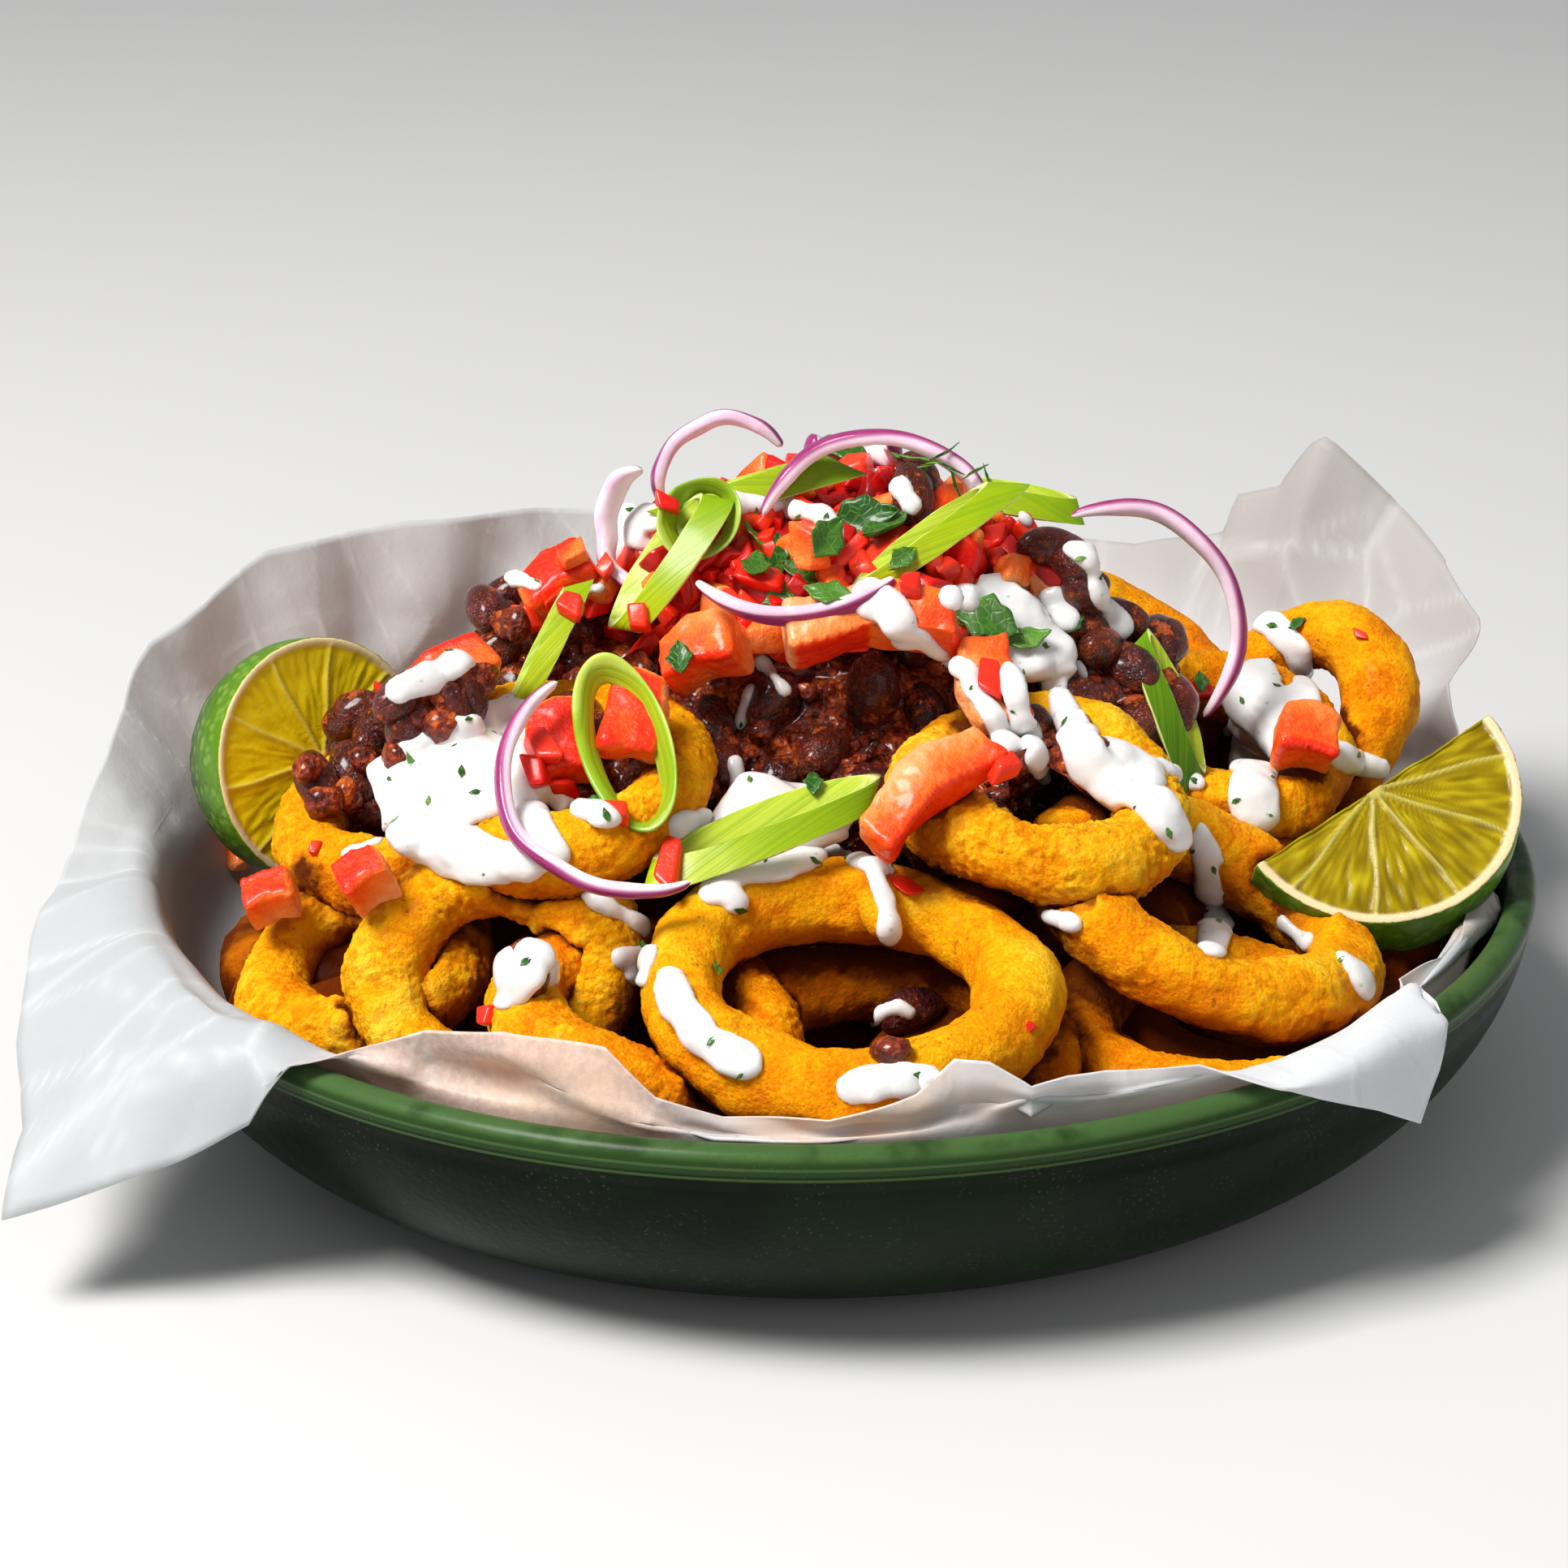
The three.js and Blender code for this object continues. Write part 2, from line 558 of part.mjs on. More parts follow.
// Long slanting slices, by their half length and half width, and open loops, also by their wall.
const SLICES = numbered([
  { name: 'slice_top', at: [-11, -4, 110], half: [19.5, 3.8], towards: 270, lean: 50, spin: 8 },
  { name: 'slice_diagonal', at: [20.5, -13, 102.5], half: [18, 3.4], towards: 275, lean: 45, spin: 33 },
  { name: 'slice_left', at: [-24.7, -9, 95], half: [15, 4.8], towards: 240, lean: 50, spin: 28 },
  { name: 'slice_left_low', at: [-44.6, -20, 84], half: [13.5, 3], towards: 250, lean: 40, spin: 52 },
  { name: 'slice_front', at: [-10, -57, 67], half: [22, 4.8], towards: 270, lean: 42, spin: 26 },
  { name: 'slice_right', at: [61, -13, 70], half: [15, 4.6], towards: 320, lean: 60, spin: -58 },
  { name: 'slice_back', at: [36, 16, 101], half: [12, 3.4], towards: 280, lean: 40, spin: -20 },
]);
const LOOPS = numbered([
  { name: 'loop_front', at: [-32, -49, 80], half: [15, 6.6], wall: 2.6, towards: 270, lean: 48, spin: 107 },
  { name: 'loop_top', at: [-21, 1, 101], half: [7, 6], wall: 2, towards: 270, lean: 54, spin: 60 },
]);
const SLICE_THICKNESS = 1.5;
const LOOP_HEIGHT = 3;

function sliceSolid(slice, grow = 0) {
  const [long, wide] = slice.half.map((length) => length + grow);
  const outline = new THREE.Shape([-1, -0.6, 0.1, 0.7, 1, 0.6, -0.1, -0.7].map((along, i) => {
    const side = i === 0 || i === 4 ? 0 : i < 4 ? 1 : -1;
    const width = side * wide * (1 - 0.25 * Math.abs(along));
    return new THREE.Vector2(along * long, width + 0.12 * wide * Math.sin(3 * along));
  }));
  const thickness = SLICE_THICKNESS + 2 * grow;
  const strip = new THREE.ExtrudeGeometry(outline, { depth: thickness, bevelEnabled: false });
  strip.translate(0, 0, -thickness / 2);
  reshape(strip, ([x, y, z]) => {
    const curl = 0.09 * long * (x / long) ** 2 + 0.3 * wide * (y / wide) ** 2;
    return [x, y, z - curl];
  });
  return solidOf(strip, pose(slice.at, slice));
}

function loopSolid(loop, grow = 0) {
  const oval = (inset) => {
    const path = new THREE.Path();
    path.absellipse(0, 0, loop.half[0] - inset, loop.half[1] - inset, 0, 2 * Math.PI);
    return path.getPoints(8);
  };
  const outline = new THREE.Shape(oval(-grow));
  outline.holes.push(new THREE.Path(oval(loop.wall + grow)));
  const height = LOOP_HEIGHT + 2 * grow;
  const ring = new THREE.ExtrudeGeometry(outline, { depth: height, bevelEnabled: false });
  ring.translate(0, 0, -height / 2);
  return solidOf(ring, pose(loop.at, loop));
}

// ---------------------------------------------------------------- red onion

// Strips of sliced onion: the middle and radius of their bend, and the angles they run between.
const ONIONS = numbered([
  { name: 'onion_top', at: [-15.8, 6, 107], radius: 12.4, from: 40, to: 190, towards: 270, lean: 75 },
  { name: 'onion_left', at: [-25, -3, 98], radius: 12.6, from: 112, to: 238, towards: 255, lean: 65 },
  { name: 'onion_middle', at: [9.4, -9, 94], radius: 21, from: 22, to: 158, towards: 270, lean: 60 },
  { name: 'onion_lower', at: [-4, -6, 111], radius: 28, from: 232, to: 306, towards: 270, lean: 45 },
  { name: 'onion_right', at: [50.7, 4, 75], radius: 22.5, from: -38, to: 112, towards: 275, lean: 76 },
  { name: 'onion_front', at: [-29.5, -57, 74], radius: 22, from: 128, to: 292, towards: 270, lean: 38 },
  { name: 'onion_back', at: [4, 6, 91], radius: 22, from: 60, to: 112, towards: 270, lean: 62 },
]);
const ONION = { thick: 2, high: 4 };

function onionSolid(onion, grow = 0) {
  const steps = Math.round((onion.to - onion.from) / 18);
  const reach = THREE.MathUtils.radToDeg(grow / onion.radius);
  const arc = (radius) => Array.from({ length: steps + 1 }, (_, i) => {
    const angle = radians(mix(onion.from - reach, onion.to + reach, i / steps));
    return new THREE.Vector2(radius * Math.cos(angle), radius * Math.sin(angle));
  });
  const half = ONION.thick / 2 + grow;
  const inner = arc(onion.radius - half).reverse();
  const outline = new THREE.Shape([...arc(onion.radius + half), ...inner]);
  const height = ONION.high + 2 * grow;
  const strip = new THREE.ExtrudeGeometry(outline, { depth: height, bevelEnabled: false });
  strip.translate(0, 0, -height / 2);
  return solidOf(strip, pose(onion.at, onion));
}

// ---------------------------------------------------------------- herb

const LEAF = { name: 'herb_leaf', at: [7, -6, 106], half: [6, 4.6], towards: 275, lean: 35, spin: 20 };
const LEAF_THICKNESS = 0.7;
const LEAF_LOBES = 7;

// A thin wavy leaf with a lobed edge.
function leafSolid(leaf, grow = 0) {
  const points = 2 * LEAF_LOBES;
  const lobes = Array.from({ length: points }, (_, i) => {
    const angle = 2 * Math.PI * i / points;
    const reach = i % 2 ? 1 : 0.72;
    return new THREE.Vector2(
      reach * (leaf.half[0] + grow) * Math.cos(angle),
      reach * (leaf.half[1] + grow) * Math.sin(angle),
    );
  });
  const thickness = LEAF_THICKNESS + 2 * grow;
  const outline = new THREE.Shape(lobes);
  const blade = new THREE.ExtrudeGeometry(outline, { depth: thickness, bevelEnabled: false });
  blade.translate(0, 0, -thickness / 2);
  reshape(blade, ([x, y, z]) => [x, y, z + 0.6 * Math.sin(0.7 * x) - 0.05 * y * y]);
  return solidOf(blade, pose(leaf.at, leaf));
}

// ---------------------------------------------------------------- the whole dish

const finishes = {
  bowl: { color: 0x16281a, roughness: 0.35, metalness: 0 },
  paper: { color: 0xe8e9ee, roughness: 0.8, metalness: 0 },
  crust: { color: 0xd98b26, roughness: 0.75, metalness: 0 },
  chili: { color: 0x3a1713, roughness: 0.35, metalness: 0 },
  salsa: { color: 0xc8261a, roughness: 0.4, metalness: 0 },
  tomato: { color: 0xe4502e, roughness: 0.35, metalness: 0 },
  lime: { color: 0x9aa82c, roughness: 0.4, metalness: 0 },
  leek: { color: 0x86b52a, roughness: 0.4, metalness: 0 },
  onion: { color: 0xc99ac6, roughness: 0.3, metalness: 0 },
  herb: { color: 0x245a22, roughness: 0.5, metalness: 0 },
  cream: { color: 0xf4f4f2, roughness: 0.3, metalness: 0 },
};

const dish = new THREE.Group();

function group(parent) {
  const made = new THREE.Group();
  parent.add(made);
  return made;
}

// Adds a named mesh whose geometry lies in its own frame, placed by position and rotation.
function addPiece(parent, name, solid, finish, place = new THREE.Matrix4()) {
  const material = new THREE.MeshStandardMaterial(finishes[finish]);
  const mesh = new THREE.Mesh(geometryOf(solid, place), material);
  mesh.name = name;
  mesh.applyMatrix4(place);
  parent.add(mesh);
}

const tableware = group(dish);
const fried = group(dish);
const toppings = group(dish);

const bowl = solidOf(standing(bowlGeometry()));
const paper = paperSolid();
addPiece(tableware, 'bowl', bowl, 'bowl');
addPiece(tableware, 'paper_liner', paper, 'paper');

// Every piece in the order that it keeps its shape: a later one is cut clear of those before it.
const rooms = [paperSolid(GAP), paperSolid(GAP / 2), solidOf(standing(bowlGeometry(GAP)))];

function lay(parent, shape, piece, finish, extra = []) {
  const whole = joined([shape(piece), ...extra]);
  addPiece(parent, piece.name, clearOf(whole, rooms), finish, pose(piece.at, piece));
  rooms.push(joined([shape(piece, GAP), ...extra]));
}

// Slides a loose piece from its rough place until it rests on what is there: along its own +Z, or
// straight down where it stands on edge.
function drop(shape, piece, finish) {
  const start = shape(piece);
  const across = new THREE.Vector3(0, 0, 1).transformDirection(pose(piece.at, piece));
  const way = piece.lean < STANDING ? across : new THREE.Vector3(0, 0, 1);
  const isFree = (lift) => {
    const moved = start.translate(way.clone().multiplyScalar(lift).toArray());
    return rooms.every((room) => room.intersect(moved).volume() < 1e-3);
  };
  let [held, free] = piece.lean < STANDING ? DROP : DROP_STANDING;
  for (let i = 0; i < 9; i += 1) {
    const middle = (held + free) / 2;
    if (isFree(middle)) free = middle;
    else held = middle;
  }
  const at = way.multiplyScalar(free).add(new THREE.Vector3(...piece.at)).toArray();
  lay(toppings, shape, { ...piece, at }, finish);
}

for (const lime of LIMES) lay(toppings, limeSolid, lime, 'lime');
for (const ring of RINGS) {
  const extra = ring.name === 'ring_front' ? FRONT_DRIZZLE.map(drizzleSolid) : [];
  lay(fried, ringSolid, ring, 'crust', extra);
}

const limeRooms = LIMES.map((lime) => limeSolid(lime, GAP));
const paperRoom = rooms[0];
const pockets = RINGS.map(ringPocket);
const heap = clearOf(joined([heapCore(), ...heapRings()]), [...pockets, ...limeRooms, paperRoom]);
addPiece(fried, 'ring_heap', heap, 'crust');

// The chili fills the holes of the two rings that lie on it, and stays out of all the others'.
const overChili = ['ring_breaded', 'ring_middle_left'];
const chiliWhole = joined([
  ...CHILI_MOUNDS.map((mound) => ellipsoid(mound, [10, 5])),
  ...chiliBeans(),
]);
const chili = clearOf(chiliWhole, [
  ...RINGS.map((ring) => (overChili.includes(ring.name) ? ringSolid(ring, GAP) : ringPocket(ring))),
  ...limeRooms,
  paperRoom,
  joined([heapCore(GAP), ...heapRings(GAP)]),
]);
const salsa = clearOf(salsaSolid(), [chiliWhole]);
addPiece(toppings, 'chili', chili, 'chili');
addPiece(toppings, 'salsa', salsa, 'salsa');
rooms.push(chiliWhole, salsaSolid(), heap);

for (const tomato of TOMATOES) drop(tomatoSolid, tomato, 'tomato');
for (const slice of SLICES) drop(sliceSolid, slice, 'leek');
for (const loop of LOOPS) drop(loopSolid, loop, 'leek');
for (const onion of ONIONS) drop(onionSolid, onion, 'onion');
drop(leafSolid, LEAF, 'herb');
for (const cream of CREAM) lay(toppings, creamSolid, cream, 'cream');

export default dish;
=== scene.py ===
# %% [markdown]
# # A loaded dish of onion rings
# Fried onion rings heaped in a round stoneware bowl, on a loose sheet of parchment, under black
# bean chili, diced tomato and pepper, cream, sliced onions and lime. The exact solids come first,
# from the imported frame. Every piece made here is in the same frame, in metres, and takes over the
# look of one or more of those solids. Lengths in the cells are in millimetres, times MM.

# %% Load the frame
import itertools
import math

import bmesh
import bpy
import numpy as np
from mathutils import Matrix, Vector
from mathutils.bvhtree import BVHTree
from mathutils.kdtree import KDTree
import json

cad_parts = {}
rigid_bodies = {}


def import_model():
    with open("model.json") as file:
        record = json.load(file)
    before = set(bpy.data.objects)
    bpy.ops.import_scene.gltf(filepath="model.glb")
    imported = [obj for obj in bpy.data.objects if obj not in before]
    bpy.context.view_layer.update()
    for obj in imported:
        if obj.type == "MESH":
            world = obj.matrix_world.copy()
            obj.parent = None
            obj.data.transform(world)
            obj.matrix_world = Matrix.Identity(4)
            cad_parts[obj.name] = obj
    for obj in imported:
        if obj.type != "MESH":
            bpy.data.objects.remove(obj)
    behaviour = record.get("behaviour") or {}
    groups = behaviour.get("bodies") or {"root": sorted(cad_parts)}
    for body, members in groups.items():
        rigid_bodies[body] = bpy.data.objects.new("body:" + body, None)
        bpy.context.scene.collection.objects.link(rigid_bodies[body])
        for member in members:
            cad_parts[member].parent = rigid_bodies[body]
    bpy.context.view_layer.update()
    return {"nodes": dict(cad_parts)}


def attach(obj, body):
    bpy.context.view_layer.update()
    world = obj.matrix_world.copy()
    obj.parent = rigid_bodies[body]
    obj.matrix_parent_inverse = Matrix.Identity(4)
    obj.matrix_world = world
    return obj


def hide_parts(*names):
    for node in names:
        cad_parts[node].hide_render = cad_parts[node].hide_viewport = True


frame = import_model()
MM = 0.001
print("solids in the frame:", len(frame["nodes"]))

# %% [markdown]
# ## The camera
# The camera looks down on the dish by about 22 degrees with a long lens, turned by less than a
# degree. The whole view is one square, so its points are counted in 1932nds of its side.
# `sight_line` gives the straight line that the camera sees as one such point: drips of cream and
# loose leaves are dropped along it onto whatever lies there.

# %% Camera
VIEW_SIDE = 1932
TARGET = Vector((0, 0, 41)) * MM
DISTANCE = 700 * MM
ELEVATION = math.radians(21.83)
ROLL = math.radians(0.742)
LENS, SENSOR = 90.3, 36  # the lens and the width behind it, in mm
SHIFT = Vector((-0.0261, 0.0364))
NEAREST = 10 * MM


def in_scene(name, data):
    """A new object of the scene, from a mesh, a camera or a light."""
    made = bpy.data.objects.new(name, data)
    bpy.context.scene.collection.objects.link(made)
    return made


outward = Vector((0, -math.cos(ELEVATION), math.sin(ELEVATION)))
camera = in_scene("camera", bpy.data.cameras.new("camera"))
camera.data.lens, camera.data.sensor_width = LENS, SENSOR
camera.data.shift_x, camera.data.shift_y = SHIFT
camera.data.clip_start = NEAREST
looking = outward.to_track_quat("Z", "Y").to_matrix().to_4x4()
camera.matrix_world = (
    Matrix.Translation(TARGET + outward * DISTANCE) @ looking @ Matrix.Rotation(-ROLL, 4, "Z")
)
bpy.context.scene.camera = camera


def sight_line(across, down):
    """Where the camera stands and the way it sees one point of its view."""
    right = ((across / VIEW_SIDE - 0.5) + SHIFT.x) * SENSOR
    up = ((0.5 - down / VIEW_SIDE) + SHIFT.y) * SENSOR
    way = camera.matrix_world.to_3x3() @ Vector((right, up, -LENS))
    return camera.matrix_world.translation.copy(), way.normalized()


print("camera height:", round(camera.location.z, 3))

# %% [markdown]
# ## Uneven by nature
# Food is never smooth or alike. `bumps` is gradient noise: a random slope at each corner of a
# lattice, blended between the corners. `grains` gives rounded grains, from the distance to the
# nearest of a cloud of jittered points. Both work on whole arrays of points at once, so a mesh of
# a hundred thousand points takes well under a second, and both are seeded.

# %% Noise on arrays of points
LATTICE = 256  # cells after which the noise repeats


def picked(order, cell):
    """One entry of a shuffled order for each cell of the lattice, always the same one."""
    x, y, z = (cell & (LATTICE - 1)).T
    return order[(order[(order[x] + y) & (LATTICE - 1)] + z) & (LATTICE - 1)]


def bumps(points, size, seed):
    """Smooth random bumps about `size` across, mostly from -1 to 1, at points in mm."""
    draw = np.random.default_rng(seed)
    order = draw.permutation(LATTICE)
    slopes = draw.normal(size=(LATTICE, 3))
    slopes /= np.linalg.norm(slopes, axis=1, keepdims=True)
    scaled = points / size
    cell = np.floor(scaled).astype(int)
    inside = scaled - cell
    ease = inside ** 3 * (inside * (inside * 6 - 15) + 10)
    total = np.zeros(len(points))
    for corner in itertools.product((0, 1), repeat=3):
        slope = np.einsum("ij,ij->i", slopes[picked(order, cell + corner)], inside - corner)
        total += slope * np.prod(np.where(corner, ease, 1 - ease), axis=1)
    return 1.6 * total


def grains(points, size, seed):
    """Rounded grains about `size` apart: 1 at the middle of each, 0 far from any."""
    draw = np.random.default_rng(seed)
    order = draw.permutation(LATTICE)
    jitter = draw.random((LATTICE, 3))
    scaled = points / size
    cell = np.floor(scaled).astype(int)
    nearest = np.full(len(points), 9.0)
    for step in itertools.product((-1, 0, 1), repeat=3):
        gap = cell + step + jitter[picked(order, cell + step)] - scaled
        nearest = np.minimum(nearest, np.einsum("ij,ij->i", gap, gap))
    return np.clip(1 - np.sqrt(nearest) / 0.8, 0, 1)


print("noise at one point:", bumps(np.array([[3.3, 4.1, 5.2]]), 4.0, 1).round(3))

# %% [markdown]
# ## Meshes from arrays
# `build` turns arrays of points and faces into an object, and `points_of` and `normals_of` read
# them back. Most shapes here are grids of points, open or closed into tubes, so `grid_faces`
# joins the points of any grid, and `joined` makes one object of many small shapes. `mark` writes
# numbers for each point, such as how far it stands out, which a material reads to colour crests
# and hollows apart.

# %% Mesh helpers
def build(name, points, faces):
    """A mesh object from points in mm and faces that all have the same number of corners."""
    points = np.asarray(points, dtype=float) * MM
    faces = np.asarray(faces)
    mesh = bpy.data.meshes.new(name)
    mesh.vertices.add(len(points))
    mesh.vertices.foreach_set("co", points.ravel())
    mesh.loops.add(faces.size)
    mesh.loops.foreach_set("vertex_index", faces.ravel())
    mesh.polygons.add(len(faces))
    mesh.polygons.foreach_set("loop_start", np.arange(len(faces)) * faces.shape[1])
    mesh.update(calc_edges=True)
    mesh.validate()
    mesh.shade_smooth()
    return in_scene(name, mesh)


def round_turns(count):
    """Evenly spaced angles all the way round."""
    return np.linspace(0, math.tau, count, endpoint=False)


def grid_faces(rows, columns, rows_close=False, columns_close=True):
    """Four-cornered faces of a grid of points, which may close on itself along either way."""
    i, j = np.mgrid[0:rows - (not rows_close), 0:columns - (not columns_close)]
    after, beside = (i + 1) % rows, (j + 1) % columns
    return np.stack([i * columns + j, after * columns + j, after * columns + beside,
                     i * columns + beside], axis=-1).reshape(-1, 4)


def grid_points(x, y, z):
    return np.stack([x, y, z], axis=-1).reshape(-1, 3)


def points_of(piece):
    flat = np.empty(3 * len(piece.data.vertices))
    piece.data.vertices.foreach_get("co", flat)
    return flat.reshape(-1, 3) / MM


def normals_of(piece):
    flat = np.empty(3 * len(piece.data.vertices))
    piece.data.vertex_normals.foreach_get("vector", flat)
    return flat.reshape(-1, 3)


def move_to(piece, points):
    piece.data.vertices.foreach_set("co", (points * MM).ravel())
    piece.data.update()


def push(piece, height):
    """Moves each point out along its normal by a height in mm, its own or one for all."""
    move_to(piece, points_of(piece) + normals_of(piece) * np.asarray(height)[..., None])


def mark(piece, **layers):
    """Writes numbers for the points of a piece, under their names: one each, or one for all."""
    for name, values in layers.items():
        layer = piece.data.attributes.new(name, "FLOAT", "POINT")
        layer.data.foreach_set("value", np.zeros(len(piece.data.vertices)) + values)


def joined(name, copies, tones=None):
    """One object from many shapes, each given as its points and its faces, with their tones."""
    sizes = [len(points) for points, _ in copies]
    starts = np.cumsum([0] + sizes[:-1])
    piece = build(name, np.concatenate([points for points, _ in copies]),
                  np.concatenate([faces + start for (_, faces), start in zip(copies, starts)]))
    if tones is not None:
        mark(piece, tone=np.repeat(tones, sizes))
    return piece


print("a grid of 3 by 4 points has", len(grid_faces(3, 4, columns_close=False)), "faces")

# %% [markdown]
# ## Solids made fine
# A solid of the frame is coarse, so most pieces start as a copy of one: its facets are rounded
# off, and it is rebuilt in small even faces that relief can move. A modifier applied from code
# does that just as it would by hand. `place` stands a piece the way the solids stand: its own +Z
# leans from upright towards a compass angle, after a turn about that +Z. `finish_piece` then puts
# it on the dish, in place of the solids whose form it keeps.

# %% Copies, trees and places
def flattened(wave, power):
    """Pulls a sine or cosine towards 1 and -1, which turns a circle into a soft square."""
    return np.sign(wave) * np.abs(wave) ** power


def smooth_step(value, low, high):
    share = np.clip((value - low) / (high - low), 0, 1)
    return share * share * (3 - 2 * share)


def modified(piece, *modifiers):
    """Applies modifiers, each given as its type and its settings."""
    for kind, settings in modifiers:
        modifier = piece.modifiers.new(kind.lower(), kind)
        for name, value in settings.items():
            setattr(modifier, name, value)
    view = bpy.context.evaluated_depsgraph_get()
    mesh = bpy.data.meshes.new_from_object(piece.evaluated_get(view))
    piece.modifiers.clear()
    old, piece.data = piece.data, mesh
    bpy.data.meshes.remove(old)
    mesh.shade_smooth()
    return piece


def even_faces(size, factor, iterations):
    """The modifiers that rebuild a piece in even faces `size` mm across and smooth it."""
    return (("REMESH", {"mode": "VOXEL", "voxel_size": size * MM}),
            ("SMOOTH", {"factor": factor, "iterations": iterations}))


def bmesh_of(*meshes):
    """The meshes in one bmesh, to edit or to read."""
    made = bmesh.new()
    for mesh in meshes:
        made.from_mesh(mesh)
    return made


def set_mesh(piece, shape):
    """Writes an edited bmesh back to its piece."""
    shape.to_mesh(piece.data)
    shape.free()
    return piece


def close_ends(piece, sides):
    """Fills the open ends of a tube, which have `sides` corners each."""
    tube = bmesh_of(piece.data)
    bmesh.ops.holes_fill(tube, edges=tube.edges, sides=sides)
    bmesh.ops.recalc_face_normals(tube, faces=tube.faces)
    return set_mesh(piece, tube)


def tree_of(*meshes):
    """One tree of the meshes, for rays and for the nearest surface."""
    shape = bmesh_of(*meshes)
    tree = BVHTree.FromBMesh(shape)
    shape.free()
    return tree


def copy_of(name, *nodes):
    """A new object with the welded meshes of some solids of the frame."""
    shape = bmesh_of(*(frame["nodes"][node].data for node in nodes))
    bmesh.ops.remove_doubles(shape, verts=shape.verts, dist=1e-6)
    return set_mesh(in_scene(name, bpy.data.meshes.new(name)), shape)


def fine_copy(name, node, grain, evening):
    """A copy of a solid with its facets rounded off, in even faces `grain` mm across."""
    return modified(copy_of(name, node), ("SUBSURF", {"levels": 2, "render_levels": 2}),
                    *even_faces(grain, 0.5, evening))


def place(at, towards, lean, spin):
    """A piece's place: `at` in mm, angles in degrees."""
    angle = math.radians(towards)
    hinge = Vector((-math.sin(angle), math.cos(angle), 0))
    turned = Matrix.Rotation(math.radians(lean), 4, hinge)
    return Matrix.Translation(Vector(at)) @ turned @ Matrix.Rotation(math.radians(spin), 4, "Z")


def moved(points, matrix):
    """Points in mm carried by a matrix whose translation is in mm."""
    matrix = np.array(matrix)
    return points @ matrix[:3, :3].T + matrix[:3, 3]


def finish_piece(piece, material, slot, *nodes):
    """Gives a piece its material, and puts it on the dish in place of some solids."""
    piece.data.materials.clear()
    piece.data.materials.append(material)
    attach(piece, "root")
    if nodes:
        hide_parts(*nodes)
    print(f"{piece.name}: {len(piece.data.polygons)} faces")


print("a quarter of the way up a smooth step:", smooth_step(0.25, 0, 1))

# %% [markdown]
# ## Small things in numbers
# Beans, dice and crumbs are one small shape each, repeated. A `ball` and a `cube` of triangles are
# enough for all of them, once their points are bent or squared. `spots_on` picks random places on
# a piece, some way apart, and `scatter` joins one copy of a shape for each place into one mesh.

# %% Scattering
def read_shape(shape):
    """Points and faces of a bmesh of triangles."""
    points = np.array([vertex.co[:] for vertex in shape.verts])
    faces = np.array([[vertex.index for vertex in face.verts] for face in shape.faces])
    shape.free()
    return points, faces


def ball(fineness):
    sphere = bmesh.new()
    bmesh.ops.create_icosphere(sphere, subdivisions=fineness, radius=1)
    return read_shape(sphere)


def cube(cuts):
    """A cube from -1 to 1, with that many cuts along each edge."""
    block = bmesh.new()
    bmesh.ops.create_cube(block, size=2)
    bmesh.ops.subdivide_edges(block, edges=block.edges, cuts=cuts, use_grid_fill=True)
    bmesh.ops.triangulate(block, faces=block.faces)
    return read_shape(block)


def squared(points, power):
    """Brings points to one distance from the middle: a ball for 2, nearly a cube for more."""
    return points / np.linalg.norm(points, ord=power, axis=1, keepdims=True)


def spots_on(piece, count, apart, seed, upward, above):
    """Up to `count` random places on a piece, at least `apart` mm from each other, where its
    normal's height is over `upward`, and that lie over `above` mm: places that can be seen."""
    draw = np.random.default_rng(seed)
    mesh = piece.data
    mesh.calc_loop_triangles()
    corners = np.empty(3 * len(mesh.loop_triangles), dtype=int)
    mesh.loop_triangles.foreach_get("vertices", corners)
    a, b, c = points_of(piece)[corners.reshape(-1, 3)].transpose(1, 0, 2)
    across = np.cross(b - a, c - a)
    area = np.linalg.norm(across, axis=1)
    pick = draw.choice(len(area), size=12 * count, p=area / area.sum())
    u, v = draw.random((2, len(pick)))
    u, v = np.where(u + v > 1, 1 - u, u), np.where(u + v > 1, 1 - v, v)
    spots = a[pick] + (b - a)[pick] * u[:, None] + (c - a)[pick] * v[:, None]
    normals = across[pick] / area[pick, None]
    shown = (normals[:, 2] > upward) & (spots[:, 2] > above)
    spots, normals = spots[shown], normals[shown]
    chosen = []
    for i, spot in enumerate(spots):
        if len(chosen) == count:
            break
        if not chosen or np.min(np.sum((spots[chosen] - spot) ** 2, axis=1)) > apart ** 2:
            chosen.append(i)
    return spots[chosen], normals[chosen]


def facing(normal, spin):
    """A turn that takes +Z to a normal, after a spin about it."""
    return Vector(normal).to_track_quat("Z", "Y").to_matrix() @ Matrix.Rotation(spin, 3, "Z")


def scatter(name, shapes, places, size, seed, sink, tumble):
    """Joins one copy of a random shape for each place. `size` gives a copy's scale in mm, `sink`
    how deep its middle lies and `tumble` how far it may turn out of the surface."""
    draw = np.random.default_rng(seed)
    copies, tones = [], []
    for spot, normal in zip(*places):
        points, faces = shapes[draw.integers(len(shapes))]
        tilt = Matrix.Rotation(draw.normal() * tumble, 3, Vector(draw.normal(size=3)))
        turn = np.array(tilt @ facing(normal, draw.random() * math.tau))
        copies.append(((points * size(draw)) @ turn.T + spot - normal * sink, faces))
        tones.append(draw.random())
    return joined(name, copies, tones)


print("a fine ball has", len(ball(3)[1]), "faces")

# %% [markdown]
# ## Materials written as sums
# A material is a graph of nodes, and most of it is arithmetic. `Wire` stands for one output of a
# node, so that `0.4 + 0.3 * speckle` adds the Math nodes it needs. Every other node comes from
# one method, `node`. What is the same all over a surface is set on the shader itself.

